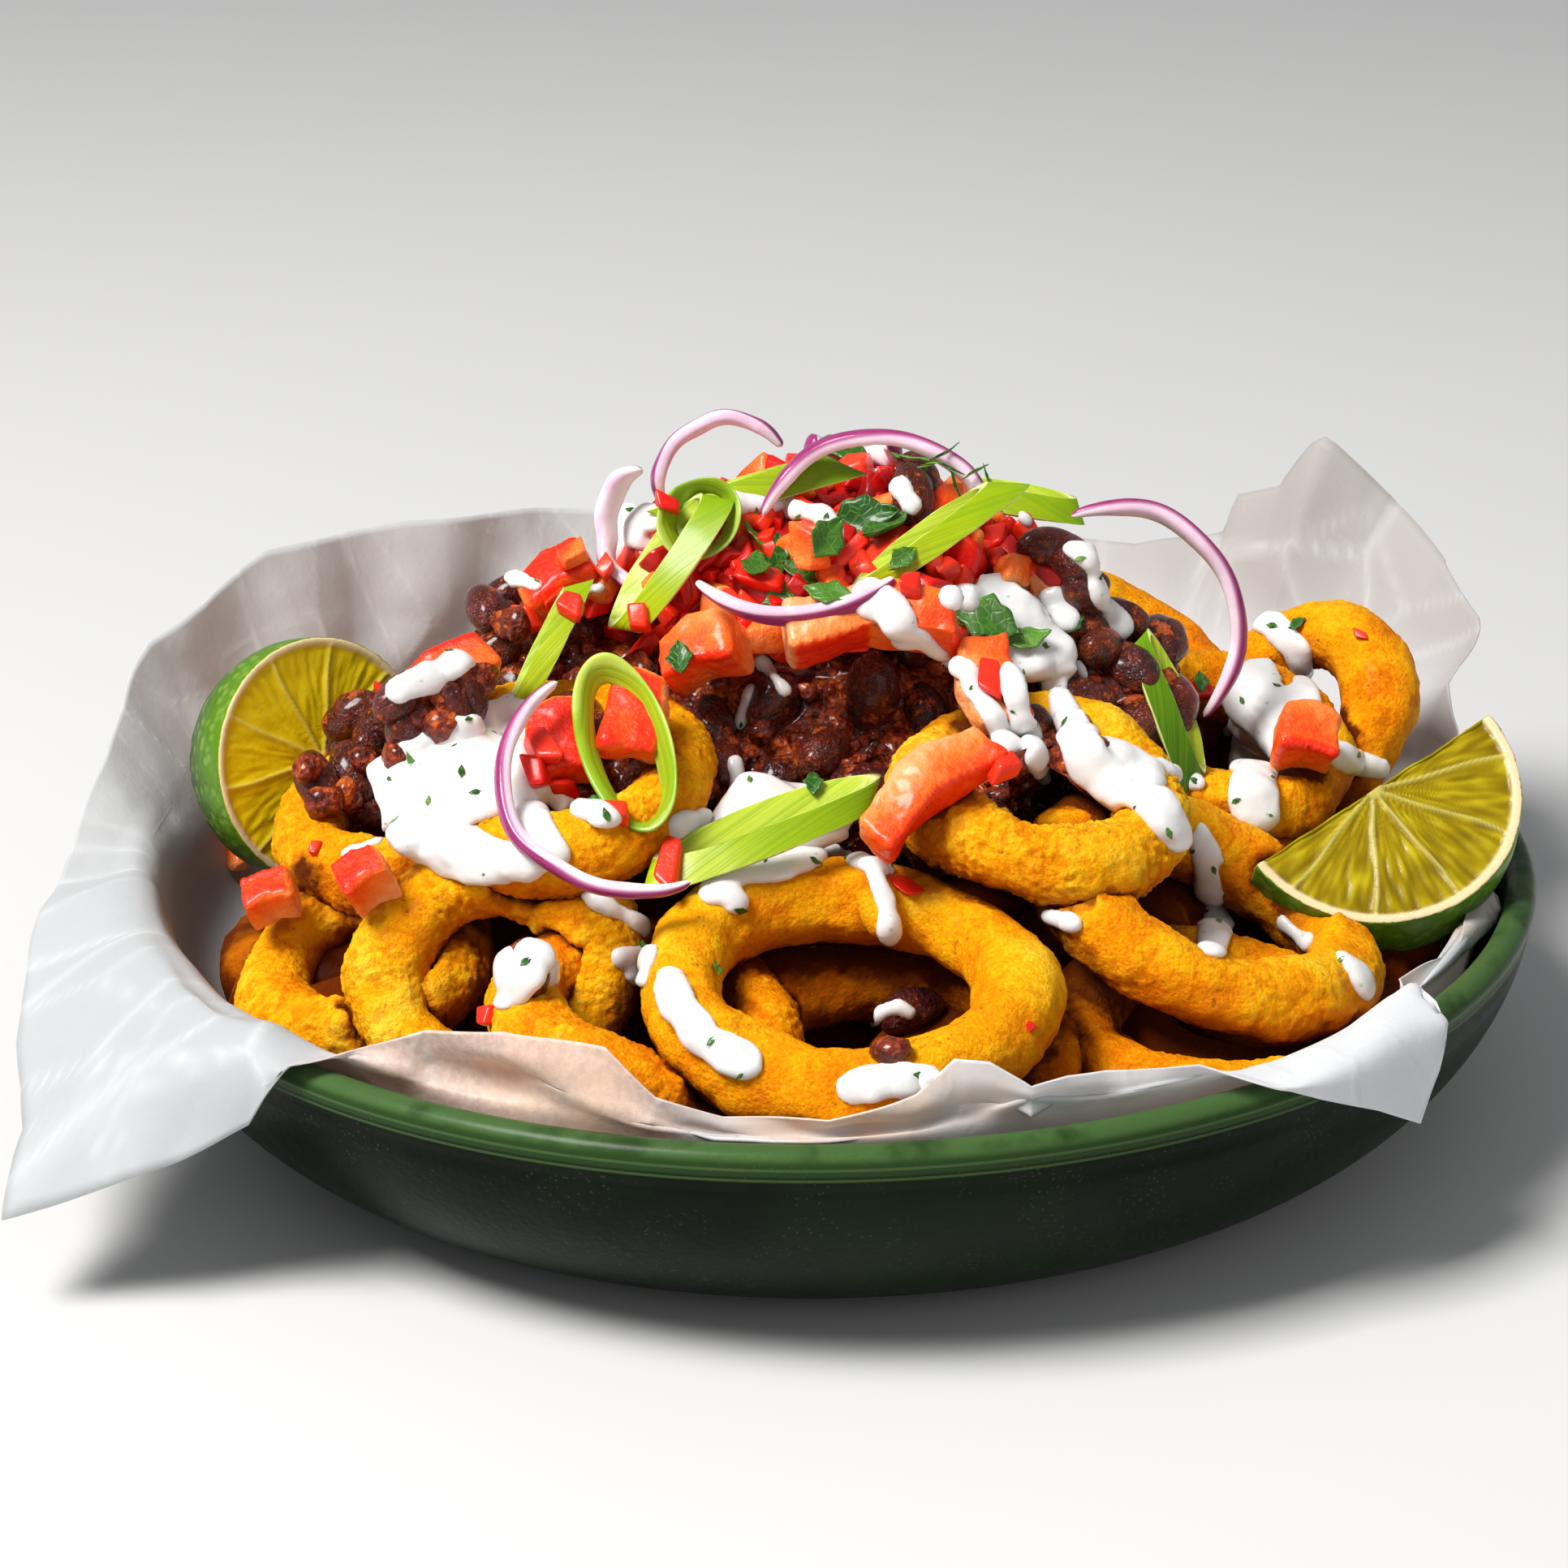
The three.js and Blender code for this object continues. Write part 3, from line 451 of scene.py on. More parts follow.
# %% Wires and finishes
def arithmetic(operation, other_first=False):
    """An operator of a wire, which adds one node for it. A Math node turns a colour grey, so
    whatever isn't one number goes through Vector Math."""
    def operator(wire, other):
        kind = "Math" if wire.socket.type == "VALUE" else "VectorMath"
        pair = [other, wire] if other_first else [wire, other]
        return wire.finish.node(kind, {"operation": operation}, pair)
    return operator


class Wire:
    """One output of a node. Arithmetic on it adds the nodes that work out the result."""

    def __init__(self, finish, socket):
        self.finish = finish
        self.socket = socket

    __add__, __radd__ = arithmetic("ADD"), arithmetic("ADD", other_first=True)
    __sub__, __rsub__ = arithmetic("SUBTRACT"), arithmetic("SUBTRACT", other_first=True)
    __mul__, __rmul__ = arithmetic("MULTIPLY"), arithmetic("MULTIPLY", other_first=True)
    __pow__ = arithmetic("POWER")

    def between(self, low, high):
        """0 below `low`, 1 above `high` and a smooth step between them."""
        settings = {"interpolation_type": "SMOOTHSTEP"}
        sockets = {"Value": self, "From Min": low, "From Max": high}
        return self.finish.node("MapRange", settings, sockets)


class Finish:
    """A material under construction, round one Principled shader."""

    def __init__(self, name, **constants):
        self.material = bpy.data.materials.new(name)
        self.material.use_nodes = True
        self.nodes = self.material.node_tree.nodes
        self.shader = self.nodes["Principled BSDF"]
        for socket, value in constants.items():
            self.shader.inputs[socket.replace("_", " ")].default_value = value

    def node(self, kind, settings=None, sockets=None, output=0):
        """Adds a node: its settings first, then the values or wires of its sockets."""
        made = self.nodes.new("ShaderNode" + kind)
        for name, value in (settings or {}).items():
            if name == "stops":
                self._set_stops(made.color_ramp.elements, value)
            else:
                setattr(made, name, value)
        named = sockets.items() if isinstance(sockets, dict) else enumerate(sockets or [])
        for name, value in named:
            self.feed(made.inputs[name], value)
        return Wire(self, made.outputs[output])

    def _set_stops(self, elements, stops):
        while len(elements) < len(stops):
            elements.new(1)
        for element, (position, color) in zip(elements, stops):
            element.position = position
            element.color = (*color, 1)

    def feed(self, socket, value):
        if isinstance(value, Wire):
            self.material.node_tree.links.new(value.socket, socket)
        elif isinstance(value, tuple) and socket.type == "RGBA":
            socket.default_value = (*value, 1)
        else:
            socket.default_value = value

    def surface(self, **wires):
        for name, value in wires.items():
            self.feed(self.shader.inputs[name.replace("_", " ")], value)
        return self.material

    def where(self):
        return self.node("TexCoord", output="Object")

    def mark(self, name):
        return self.node("Attribute", {"attribute_name": name}, output="Fac")

    def noise(self, size, detail=3.0, roughness=0.55, distortion=0.0):
        """Noise whose features are about `size` mm across, from 0 to 1."""
        sockets = {"Vector": self.where(), "Scale": 1 / (size * MM), "Detail": detail,
                   "Roughness": roughness, "Distortion": distortion}
        return self.node("TexNoise", None, sockets)

    def cells(self, size, feature="F1"):
        """How far each point is from the nearest of many points about `size` mm apart."""
        sockets = {"Vector": self.where(), "Scale": 1 / (size * MM)}
        return self.node("TexVoronoi", {"feature": feature}, sockets)

    def ramp(self, value, *stops):
        return self.node("ValToRGB", {"stops": stops}, [value])

    def blend(self, share, first, second):
        """Mixes two colours by a share."""
        sockets = {0: share, 6: first, 7: second}
        return self.node("Mix", {"data_type": "RGBA"}, sockets, output=2)

    def layers(self, color, *coats):
        """Lays more colours over a first one, each by its share, as a painter glazes."""
        for share, tint in coats:
            color = self.blend(share, color, tint)
        return color

    def bump(self, height, depth, strength=1.0):
        """A Normal from a height of 0 to 1 that stands for `depth` mm."""
        sockets = {"Height": height, "Distance": depth * MM, "Strength": strength}
        return self.node("Bump", None, sockets)


print("shader helpers ready")

# %% [markdown]
# ## The bowl
# A shallow stoneware bowl thrown on a wheel: a flat foot, a full round wall and a soft rolled
# rim with two turned lines under it. A lathe of one profile gives it. The wall follows the same
# curve as the solid, and the lines are shallow dips in the outline, so they catch the light.
# The glaze is a near-black green, glassy with a fine speckle, and wears thin and lighter on the
# rim. A pale line along the rim's top is partly wear and partly painted highlight, and the pale lines
# at the edges of the upper turned line are painted highlights. The foot ring stays bare clay.

# %% Bowl shape
RIM_RADIUS = 125.0
BOWL_HEIGHT = 41.0
FOOT_RADIUS = 86.0
WALL = 5.5
FLOOR = 6.0
WALL_ROUNDNESS = 2 / 1.87
LATHE_STEPS = 192
# radius and height, from the middle of the foot out to the wall
FOOT = [(0, 1.6), (40, 1.6), (77, 1.6), (79, 1.2), (80.5, 0.2), (82, 0), (84.5, 0), (85.6, 0.3)]
# height, width and depth
TURNED_LINES = [(33.4, 0.55, 0.55), (36.6, 0.4, 0.35)]
CLAY_HEIGHT, CLAY_RADIUS = 1.9, 85.9  # below and inside these, the clay is bare
OVER = [0, 3, 2, 1]  # the order of corners that turns a face over


def wall_point(turn, inset=0.0):
    """Radius and height of the bowl's wall: `turn` goes from 0 at the foot to 90 at the rim."""
    across = math.sin(math.radians(turn)) ** WALL_ROUNDNESS
    along = math.cos(math.radians(turn)) ** WALL_ROUNDNESS
    radius = FOOT_RADIUS + (RIM_RADIUS - FOOT_RADIUS) * across - inset
    base = inset * FLOOR / WALL
    return radius, BOWL_HEIGHT + (base - BOWL_HEIGHT) * along


def bowl_profile():
    """Radius and height from the middle of the foot, out, over the rim and in."""
    outside = []
    for turn in np.linspace(3, 84, 44):
        radius, height = wall_point(turn)
        dip = sum(depth * math.exp(-((height - at) / width) ** 2)
                  for at, width, depth in TURNED_LINES)
        outside.append((radius - dip, height))
    lip = WALL / 2
    rim = [(RIM_RADIUS - lip + lip * math.cos(turn), BOWL_HEIGHT - lip + lip * math.sin(turn))
           for turn in map(math.radians, np.linspace(6, 172, 14))]
    inside = [wall_point(turn, WALL) for turn in np.linspace(80, 3, 30)]
    return FOOT + outside + rim + inside + [(70, FLOOR), (35, FLOOR), (0, FLOOR)]


def lathe(name, profile, steps):
    """Turns a profile that starts and ends on the axis about +Z."""
    turns = round_turns(steps)
    radii, heights = np.array(profile[1:-1]).T
    points = grid_points(np.outer(radii, np.cos(turns)), np.outer(radii, np.sin(turns)),
                         np.repeat(heights[:, None], steps, axis=1))
    return close_ends(build(name, points, grid_faces(len(radii), steps)[:, OVER]), steps)


bowl = lathe("stoneware_bowl", bowl_profile(), LATHE_STEPS)
bowl_points = points_of(bowl)
mark(bowl, bare=(bowl_points[:, 2] < CLAY_HEIGHT)
     & (np.hypot(*bowl_points.T[:2]) < CLAY_RADIUS))
print("bowl is", round(2 * bowl_points[:, 0].max(), 1), "mm across")

# %% Glaze
glaze = Finish("dark_glaze", IOR=1.45, Coat_Roughness=0.25, Specular_IOR_Level=0.06)
height = glaze.node("SeparateXYZ", None, [glaze.where()], output="Z")
speckle = glaze.cells(1.1).between(0.28, 0.12) * glaze.noise(9).between(0.42, 0.62)
cloud = glaze.noise(38, detail=4)
green = glaze.blend(cloud.between(0.35, 0.7), (0.0028, 0.0062, 0.0028), (0.0080, 0.016, 0.0065))
rim_light = height.between(36.4 * MM, 37.2 * MM)
# partly wear and partly painted highlight: a pale line along the rim's top, broken by noise
wear_and_painted_highlight = height.between(38.8 * MM, 40 * MM) * glaze.noise(12).between(0.30, 0.52)
# painted highlights: pale lines at the edges of the upper turned line
for low in (35.8, 37.7):  # the edges of the upper turned line
    wear_and_painted_highlight = wear_and_painted_highlight + (height.between(low * MM, (low + 0.3) * MM)
                   * height.between((low + 0.8) * MM, (low + 0.5) * MM))
green = glaze.layers(green, (0.85 * rim_light, (0.021, 0.052, 0.011)),
                     (0.55 * wear_and_painted_highlight, (0.075, 0.15, 0.045)), (0.5 * speckle, (0.045, 0.065, 0.032)))
bare = glaze.mark("bare")
clay = glaze.blend(glaze.noise(3), (0.30, 0.21, 0.14), (0.42, 0.32, 0.23))
ripple = glaze.noise(6, detail=3) * 0.6 + glaze.cells(1.4) * 0.4
glaze_material = glaze.surface(
    Base_Color=glaze.blend(bare, green, clay),
    Roughness=0.28 + 0.16 * glaze.noise(5) + 0.4 * bare,
    Coat_Weight=0.12 * rim_light,
    Normal=glaze.bump(ripple, 0.12),
)
finish_piece(bowl, glaze_material, "bowl", "bowl")

# %% [markdown]
# ## The parchment
# One loose sheet pressed into the bowl. It stands up behind and on the left, ends in pointed
# corners, is tucked inside the rim at the front and hangs over it in two places. A table of the
# edge's route, by compass angle, radius and height, carries its form. Each radial line of the
# sheet runs along the bowl's inside and then up or over the rim to that edge. Crisp creases are
# the borders between large random cells, as folds in real paper part it into flat facets. The
# corner that hangs over the rim on the left has finer ones, and each point's crease is marked.

# %% Parchment route
PAPER_EDGE = [
    (0, 114, 38), (10, 118, 46), (19, 124, 54), (26, 139, 61), (33, 147, 65), (40, 148, 73),
    (45.5, 144, 84), (48.5, 141, 73), (52.5, 139.5, 70), (53.8, 139.3, 62), (61, 133, 58),
    (75, 128, 60), (90, 128, 63),
    (105, 128, 65), (116, 128, 68), (131, 127, 72), (146, 129, 73), (154, 128, 69),
    (162, 130, 67), (169, 130, 61), (176, 130, 54), (184, 132, 46), (190, 135, 42),
    (196, 140, 38), (204, 146, 30), (211, 150, 23), (216, 161, 16), (222, 141, 25),
    (226, 131, 32), (229, 128, 43), (232, 121, 45), (238, 117, 50), (245, 116, 53),
    (253, 116, 52), (257, 116, 45), (262, 116, 42), (270, 116, 42), (276.5, 115, 46),
    (279.5, 115, 51), (282, 117, 50.5), (285, 119, 46.5), (288, 118, 47), (291, 118, 47),
    (298, 121, 46), (302, 127, 43), (306, 129, 39),
    (311, 130, 34), (315, 131, 29), (317.5, 130, 36), (319.5, 128, 43), (322, 119, 44),
    (325, 114.5, 42), (331, 113.5, 40.5), (340, 113.5, 38.5), (360, 114, 38),
]
PAPER_THICKNESS = 0.3
PAPER_TURNS = 720
PAPER_ROWS = 64
PAPER_LIFT = 1.15  # how far the sheet stays off the bowl
FLAP = 211  # compass angle of the corner that hangs over the rim


def rise_and_fall(value, *steps):
    """0, then 1 between two smooth steps up and down, then 0."""
    return smooth_step(value, *steps[:2]) * (1 - smooth_step(value, *steps[2:]))


def paper_sections():
    """Radius and height at seven places along each radial line of the sheet."""
    turns = np.linspace(0, 360, PAPER_TURNS, endpoint=False)
    angle, radius, height = np.array(PAPER_EDGE).T
    edge = np.stack([np.interp(turns, angle, radius), np.interp(turns, angle, height)], axis=-1)
    tuck = 0.5 + 0.5 * np.sin(np.radians(turns * 9))
    sections = [np.tile((FOOT_RADIUS - 14, FLOOR + PAPER_LIFT), (PAPER_TURNS, 1))]
    for turn in (8, 54):  # low and half way up the bowl's wall
        r, z = wall_point(turn, WALL)
        inward = -(PAPER_LIFT + tuck) * math.sin(math.radians(turn)) - 0.3
        upward = (PAPER_LIFT + 0.2) * math.cos(math.radians(turn))
        sections.append(np.stack([r + inward, np.full(PAPER_TURNS, z + upward)], axis=-1))
    brink = np.stack([RIM_RADIUS - WALL - PAPER_LIFT - 2 - tuck,
                      np.full(PAPER_TURNS, BOWL_HEIGHT - 3)], axis=-1)
    # where the edge is farther out than the rim's inside, the sheet lies on the rim, and where
    # it is farther out than the rim and low, it hangs over
    over = smooth_step(edge[:, 0], 116, 120) * (1 - smooth_step(edge[:, 1], 50, 60))
    hang = smooth_step(edge[:, 0], 123, 126) * (1 - smooth_step(edge[:, 1], 41, 44))
    on_rim = np.array([RIM_RADIUS - 5, BOWL_HEIGHT + 2.4])
    past_rim = np.array([RIM_RADIUS + 2.8, BOWL_HEIGHT + 1.6])
    lip = brink + 0.3 * (edge - brink)
    lip += over[:, None] * (on_rim - lip)
    shoulder = lip + 0.4 * (edge - lip)
    shoulder += hang[:, None] * (past_rim - shoulder)
    return turns, np.stack([*sections, brink, lip, shoulder, edge], axis=1)


def along_smooth(knots, share):
    """Points on the smooth curve through each line's knots, `share` of the way along."""
    spans = knots.shape[1] - 1
    index = np.minimum((share * spans).astype(int), spans - 1)
    t = (share * spans - index)[None, :, None]
    padded = np.concatenate([2 * knots[:, :1] - knots[:, 1:2], knots,
                             2 * knots[:, -1:] - knots[:, -2:-1]], axis=1)
    a, b, c, d = (padded[:, index + k] for k in range(4))
    return 0.5 * (2 * b + (c - a) * t + (2 * a - 5 * b + 4 * c - d) * t ** 2
                  + (3 * b - a - 3 * c + d) * t ** 3)


paper_turns, paper_knots = paper_sections()
print("parchment reaches", round(float(paper_knots[:, -1, 0].max()), 1), "mm out")

# %% Parchment creases
def facets(points, size, slope, seed):
    """Flat facets between the middles of random cells, bent up or down to their borders: the
    height that they give each point, and how near the point is to a crease, from 0 to 1."""
    draw = np.random.default_rng(seed)
    middles = points[draw.choice(len(points), 900, replace=False)]
    apart = [0]
    for i in range(1, len(middles)):
        if np.min(np.linalg.norm(middles[apart] - middles[i], axis=1)) > size:
            apart.append(i)
    middles = middles[apart] + draw.normal(size=(len(apart), 3)) * size * 0.15
    gaps = np.linalg.norm(points[:, None, :] - middles[None], axis=2)
    nearest = gaps.argmin(axis=1)
    order = np.partition(gaps, 1, axis=1)
    way = np.where(draw.random(len(apart)) < 0.5, -1, 1) * draw.uniform(0.4, 1, len(apart))
    inside = order[:, 1] - order[:, 0]
    return slope * way[nearest] * inside, np.exp(-inside / 1.1)


def paper_sheet():
    share = np.linspace(0, 1, PAPER_ROWS)
    route = along_smooth(paper_knots, share)
    turn = np.radians(paper_turns)[:, None]
    radius, height = route[..., 0], route[..., 1]
    free = smooth_step(share, 0.5, 0.75)[None]  # the part of each line that nothing holds
    fold = 1.3 * np.sin(11 * turn + 5 * share) + 0.9 * np.sin(23 * turn + 2 + 9 * share)
    radius = radius + free * fold * (0.55 + 0.45 * np.sin(3 * turn + 1))
    points = np.stack([radius * np.cos(turn), radius * np.sin(turn), height], axis=-1)
    points = points.transpose(1, 0, 2).reshape(-1, 3)
    piece = build("parchment", points, grid_faces(PAPER_ROWS, PAPER_TURNS)[:, OVER])
    loose = np.repeat(smooth_step(share, 0.42, 0.72), PAPER_TURNS)
    wide, wide_crease = facets(points, 30, 0.095, 5)
    narrow, narrow_crease = facets(points, 16, 0.08, 9)
    crumple = wide + narrow + 0.9 * bumps(points, 34, 3) + 0.25 * bumps(points, 9, 4)
    front = rise_and_fall(paper_turns, 222, 236, 312, 324)
    calm = 1 - 0.75 * np.outer(smooth_step(share, 0.72, 0.92), front).ravel()
    flap = np.tile(smooth_step(np.cos(np.radians(paper_turns - FLAP)), 0.72, 0.92), PAPER_ROWS)
    hanging, hanging_crease = facets(points, 21, 0.11, 13)
    crumple = crumple + flap * hanging
    crease = np.maximum(wide_crease, 0.6 * narrow_crease)
    mark(piece, crease=loose * np.maximum(crease, flap * hanging_crease))
    push(piece, loose * calm * crumple)
    hub = bmesh_of(piece.data)
    inner = [edge for edge in hub.edges if edge.is_boundary
             and math.hypot(*edge.verts[0].co.xy) < 80 * MM]
    bmesh.ops.holes_fill(hub, edges=inner, sides=PAPER_TURNS)
    set_mesh(piece, hub)
    return modified(piece, ("SOLIDIFY", {"thickness": PAPER_THICKNESS * MM, "offset": 0}))


parchment = paper_sheet()
print("parchment has", len(parchment.data.vertices), "points")

# %% [markdown]
# ## Fried onion rings
# Each ring is a band of onion in puffed batter: a fat hoop, thicker here and thinner there, with
# a fine crumb that is coarser on some rings. The solid's facets are rounded off and rebuilt in
# faces well under a millimetre, so that the crumb is real relief and shows on the outline too.
# Three sizes of bumps swell the batter and grains of crumb sit on top. How far each point stands
# out is kept as a mark, and the colour makes crests pale gold and hollows darker. Two more marks
# carry painted shade: how much of the sky other food hides, where the crust is painted deep brown,
# and what faces down, which is painted a deeper orange as light bounced between rings would make it.

# %% Crust relief
# name: crumb's depth (mm), how much the batter swells, the size of a face (mm), how much paler
# it fried, and how much more painted shade it gets for lying under the rest
RING_CRUSTS = {
    "ring_front": (0.42, 0.8, 0.52, 0.02, 0), "ring_breaded": (1.3, 1.1, 0.48, 0.06, 0),
    "ring_middle_left": (1.0, 0.9, 0.52, 0.03, 0), "ring_front_left": (1.0, 0.9, 0.52, 0, 0.06),
    "ring_right": (0.6, 0.9, 0.55, 0.03, 0), "ring_left_front": (1.05, 1.1, 0.52, 0.05, -0.15),
    "ring_left_top": (1.0, 1.0, 0.55, 0.03, 0), "ring_left": (1.0, 1.0, 0.55, 0.05, -0.15),
    "ring_right_top": (0.8, 0.9, 0.6, 0.02, 0), "ring_back_right": (0.5, 0.9, 0.62, 0.01, 0),
    "ring_back": (0.45, 0.8, 0.7, 0, 0), "ring_front_right": (0.7, 0.9, 0.58, 0, 0),
    "ring_front_low": (0.8, 0.8, 0.7, -0.02, 0.16), "ring_rear_right": (0.9, 1.0, 0.72, 0, 0),
    "ring_rear": (0.8, 1.0, 0.72, 0, 0), "ring_rear_left": (0.9, 1.0, 0.72, 0, 0),
    "ring_far_left": (0.85, 1.0, 0.72, 0, 0),
}
GROWTH = 0.55  # makes up for what rounding off the facets takes away
LOOK_OUT = 26  # how far a point looks for what shelters it
THIN = ("paper", "onion", "slice", "loop", "herb", "cream")  # what shelters nothing


def solids_but(*kinds):
    """One tree of the dish's solids, without the kinds that are named."""
    return tree_of(*(node.data for name, node in frame["nodes"].items()
                     if not name.startswith(kinds)))


SOLIDS = solids_but(*THIN)


def sheltered(piece, seed, samples=1400, rays=14):
    """For each point, the share of the sky above it that other food hides, from 0 to 1. It is
    worked out at random points of the piece and spread to the rest from the four nearest."""
    draw = np.random.default_rng(seed + 500)
    points, normals = points_of(piece), normals_of(piece)
    chosen = draw.choice(len(points), min(samples, len(points)), replace=False)
    near = KDTree(len(chosen))
    shares = []
    for k, i in enumerate(chosen):
        near.insert(points[i], k)
        ways = draw.normal(size=(rays, 3)) + normals[i] * 1.2 + (0, 0, 0.9)
        start = Vector(points[i] * MM) + Vector(normals[i]) * 1.6 * MM
        blocked = sum(SOLIDS.ray_cast(start, Vector(way), LOOK_OUT * MM)[0] is not None
                      for way in ways / np.linalg.norm(ways, axis=1)[:, None])
        shares.append(blocked / rays)
    near.balance()
    shares = np.array(shares)
    return np.array([shares[[k for _, k, _ in near.find_n(point, 4)]].mean() for point in points])


def crust_relief(piece, crumb, swell, seed, paler, shade):
    """Swells and crumbs a fried surface, and marks how far each point stands out."""
    points = points_of(piece)
    lumps = swell * (0.75 * bumps(points, 13, seed) + 0.45 * bumps(points, 6, seed + 1))
    pits = 0.2 * bumps(points, 2.6, seed + 2)
    rough = 0.35 + 0.65 * smooth_step(bumps(points, 9, seed + 5), -0.5, 0.3)
    grain = 0.26 * crumb * rough * (grains(points, 2.1, seed + 3) - 0.4)
    fine = 0.62 * crumb * rough * (grains(points, 1.2, seed + 4) - 0.4)
    push(piece, GROWTH + lumps + pits + grain + fine)
    # marks for painted shade: how much of the sky other food hides, and what faces down
    mark(piece, crest=np.clip(0.5 + 1.1 * (grain + fine + pits), 0, 1),
         under=smooth_step(-normals_of(piece)[:, 2], -0.2, 0.75),
         swell=np.clip(0.5 + 0.45 * lumps, 0, 1), hidden=sheltered(piece, seed) + shade,
         paler=paler)


rings = {}
for seed, (name, (crumb, swell, grain, paler, shade)) in enumerate(RING_CRUSTS.items()):
    ring = fine_copy("fried_" + name, name, grain, 5)
    crust_relief(ring, crumb, swell, 10 * seed + 1, paler, shade)
    rings[name] = ring
print("rings:", sum(len(ring.data.polygons) for ring in rings.values()), "faces")

# %% Crust colour
crust = Finish("golden_crust", Subsurface_Weight=0.15, Subsurface_Radius=(1.0, 0.35, 0.04),
               Subsurface_Scale=0.0018, Coat_Roughness=0.3, IOR=1.4, Specular_IOR_Level=0.07)
crest, swell = crust.mark("crest"), crust.mark("swell")
patch = crust.noise(17, detail=3)
mottle = crust.noise(3.4, detail=3, roughness=0.6)
crumbs = crust.noise(0.8, detail=3, roughness=0.6)
tone = 0.27 * patch + 0.18 * mottle + 0.29 * crumbs + 0.26 * swell + crust.mark("paler")
gold = crust.ramp(tone, (0.35, (0.56, 0.115, 0.001)), (0.43, (0.84, 0.22, 0.001)),
                  (0.50, (0.95, 0.335, 0.002)), (0.57, (1.0, 0.46, 0.004)),
                  (0.68, (1.0, 0.63, 0.035)))
fleck = crust.noise(1.6, detail=2).between(0.63, 0.70) * crust.noise(9).between(0.48, 0.58)
hidden = crust.mark("hidden")
gold = crust.layers(
    gold,
    (crest.between(0.48, 0.25) * 0.4, (0.60, 0.13, 0.001)),  # hollows between the crumbs
    (crest.between(0.56, 0.86) * 0.45, (1.0, 0.62, 0.025)),  # their tips
    (0.6 * fleck, (0.30, 0.030, 0.002)),  # scorched flecks
    # painted bounce light: faces that point down turn a deeper orange
    (0.5 * crust.mark("under"), (0.88, 0.22, 0.001)),
    # painted shade: amber, then deep brown, where other food hides the sky
    (0.6 * hidden.between(0.15, 0.55), (0.60, 0.12, 0.0008)),
    (0.92 * hidden.between(0.38, 0.88), (0.070, 0.005, 0.0004)),
)
crumb_height = 2.0 * crust.noise(0.62, detail=4, roughness=0.75) + 0.7 * (1 - crust.cells(0.8))
crust_material = crust.surface(
    Base_Color=gold,
    Roughness=0.62 - 0.2 * crust.noise(6, detail=2),
    Coat_Weight=0.05 * crust.noise(8).between(0.45, 0.65),
    Normal=crust.bump(crumb_height, 0.36, 0.9),
)
for name, ring in rings.items():
    finish_piece(ring, crust_material, "crust", name)

# %% [markdown]
# ## Parchment finish
# Baking parchment is thin enough for light to pass, so it glows a little and whatever lies close
# behind it shows through as a warm tan; that tan is painted into its colour. Frying fat makes it
# stronger in blotches. How near the food is gets marked on the sheet, and the tint follows it. More
# marks part the sheet by compass angle and paint light and shade on it: painted light at the front
# right, the painted tan of food showing through at the front left, and painted shade where it
# hangs over the rim and where it stands in its own shade at the back right. Creases are paler, and
# up close the sheet has the faint cloudiness of pressed fibres.

# %% Parchment colour
food_tree = solids_but("bowl", *THIN)
food_gap = np.array([food_tree.find_nearest(vertex.co)[3] for vertex in parchment.data.vertices])
x, y, z = points_of(parchment).T
turn = np.degrees(np.arctan2(y, x)) % 360
# painted light and shade by compass angle, and how near the food is for its painted show-through
mark(parchment, near=1 - smooth_step(food_gap / MM, 1.5, 9.0),
     greyed=smooth_step(np.cos(np.radians(turn - 32)), 0.55, 0.95) * smooth_step(z, 42, 58),
     bright=rise_and_fall(turn, 256, 266, 324, 334), tanned=rise_and_fall(turn, 227, 237, 255, 262),
     flap=smooth_step(np.cos(np.radians(turn - FLAP)), 0.80, 0.95))
sheet = Finish("parchment", IOR=1.4, Specular_IOR_Level=0.25, Subsurface_Weight=0.35,
               Subsurface_Radius=(1.0, 0.9, 0.8), Subsurface_Scale=0.002)
fibre = sheet.noise(1.6, detail=4, roughness=0.7)
cloud = sheet.noise(30, detail=4)
white = sheet.blend(cloud, (0.46, 0.47, 0.49), (0.55, 0.55, 0.56))
tan = sheet.blend(fibre.between(0.35, 0.65), (0.78, 0.55, 0.44), (0.56, 0.38, 0.31))
crease = sheet.mark("crease")
white = sheet.layers(
    white,
    (0.25 * fibre, (0.38, 0.39, 0.41)),
    # painted shade at the back right, painted light at the front right, painted shade on the hanging
    # flap and the painted tan of food showing through at the front left
    (0.9 * sheet.mark("greyed"), (0.37, 0.345, 0.335)),
    (0.6 * sheet.mark("bright"), (0.74, 0.75, 0.77)),
    (0.8 * sheet.mark("flap"), (0.38, 0.395, 0.41)),
    (0.8 * sheet.mark("tanned"), tan),
    (0.4 * crease, (0.68, 0.69, 0.70)),
)
# painted show-through of food close behind the sheet, made stronger in blotches as fat stains
grease_and_show_through = sheet.mark("near") * (0.35 + 0.65 * sheet.noise(13, detail=4).between(0.38, 0.6))
parchment_material = sheet.surface(
    Base_Color=sheet.blend(0.75 * grease_and_show_through, white, (0.80, 0.52, 0.36)),
    Roughness=0.55 - 0.2 * grease_and_show_through,
    Normal=sheet.bump(0.7 * fibre + 0.3 * sheet.noise(5) + 1.5 * crease, 0.2, 0.6),
)
finish_piece(parchment, parchment_material, "paper", "paper_liner")

# %% [markdown]
# ## Rings deeper in the heap
# The solid heap fills the bowl under the loose rings. Seen between them, it has to be more rings,
# not a floor, so its own surface is sunk a little and painted with more shade, and extra hoops lie
# on it in random leans wherever there is a gap. A hoop is a tube round a slightly oval circle, made
# from two angles, with the same crust relief as the others and more painted shade.

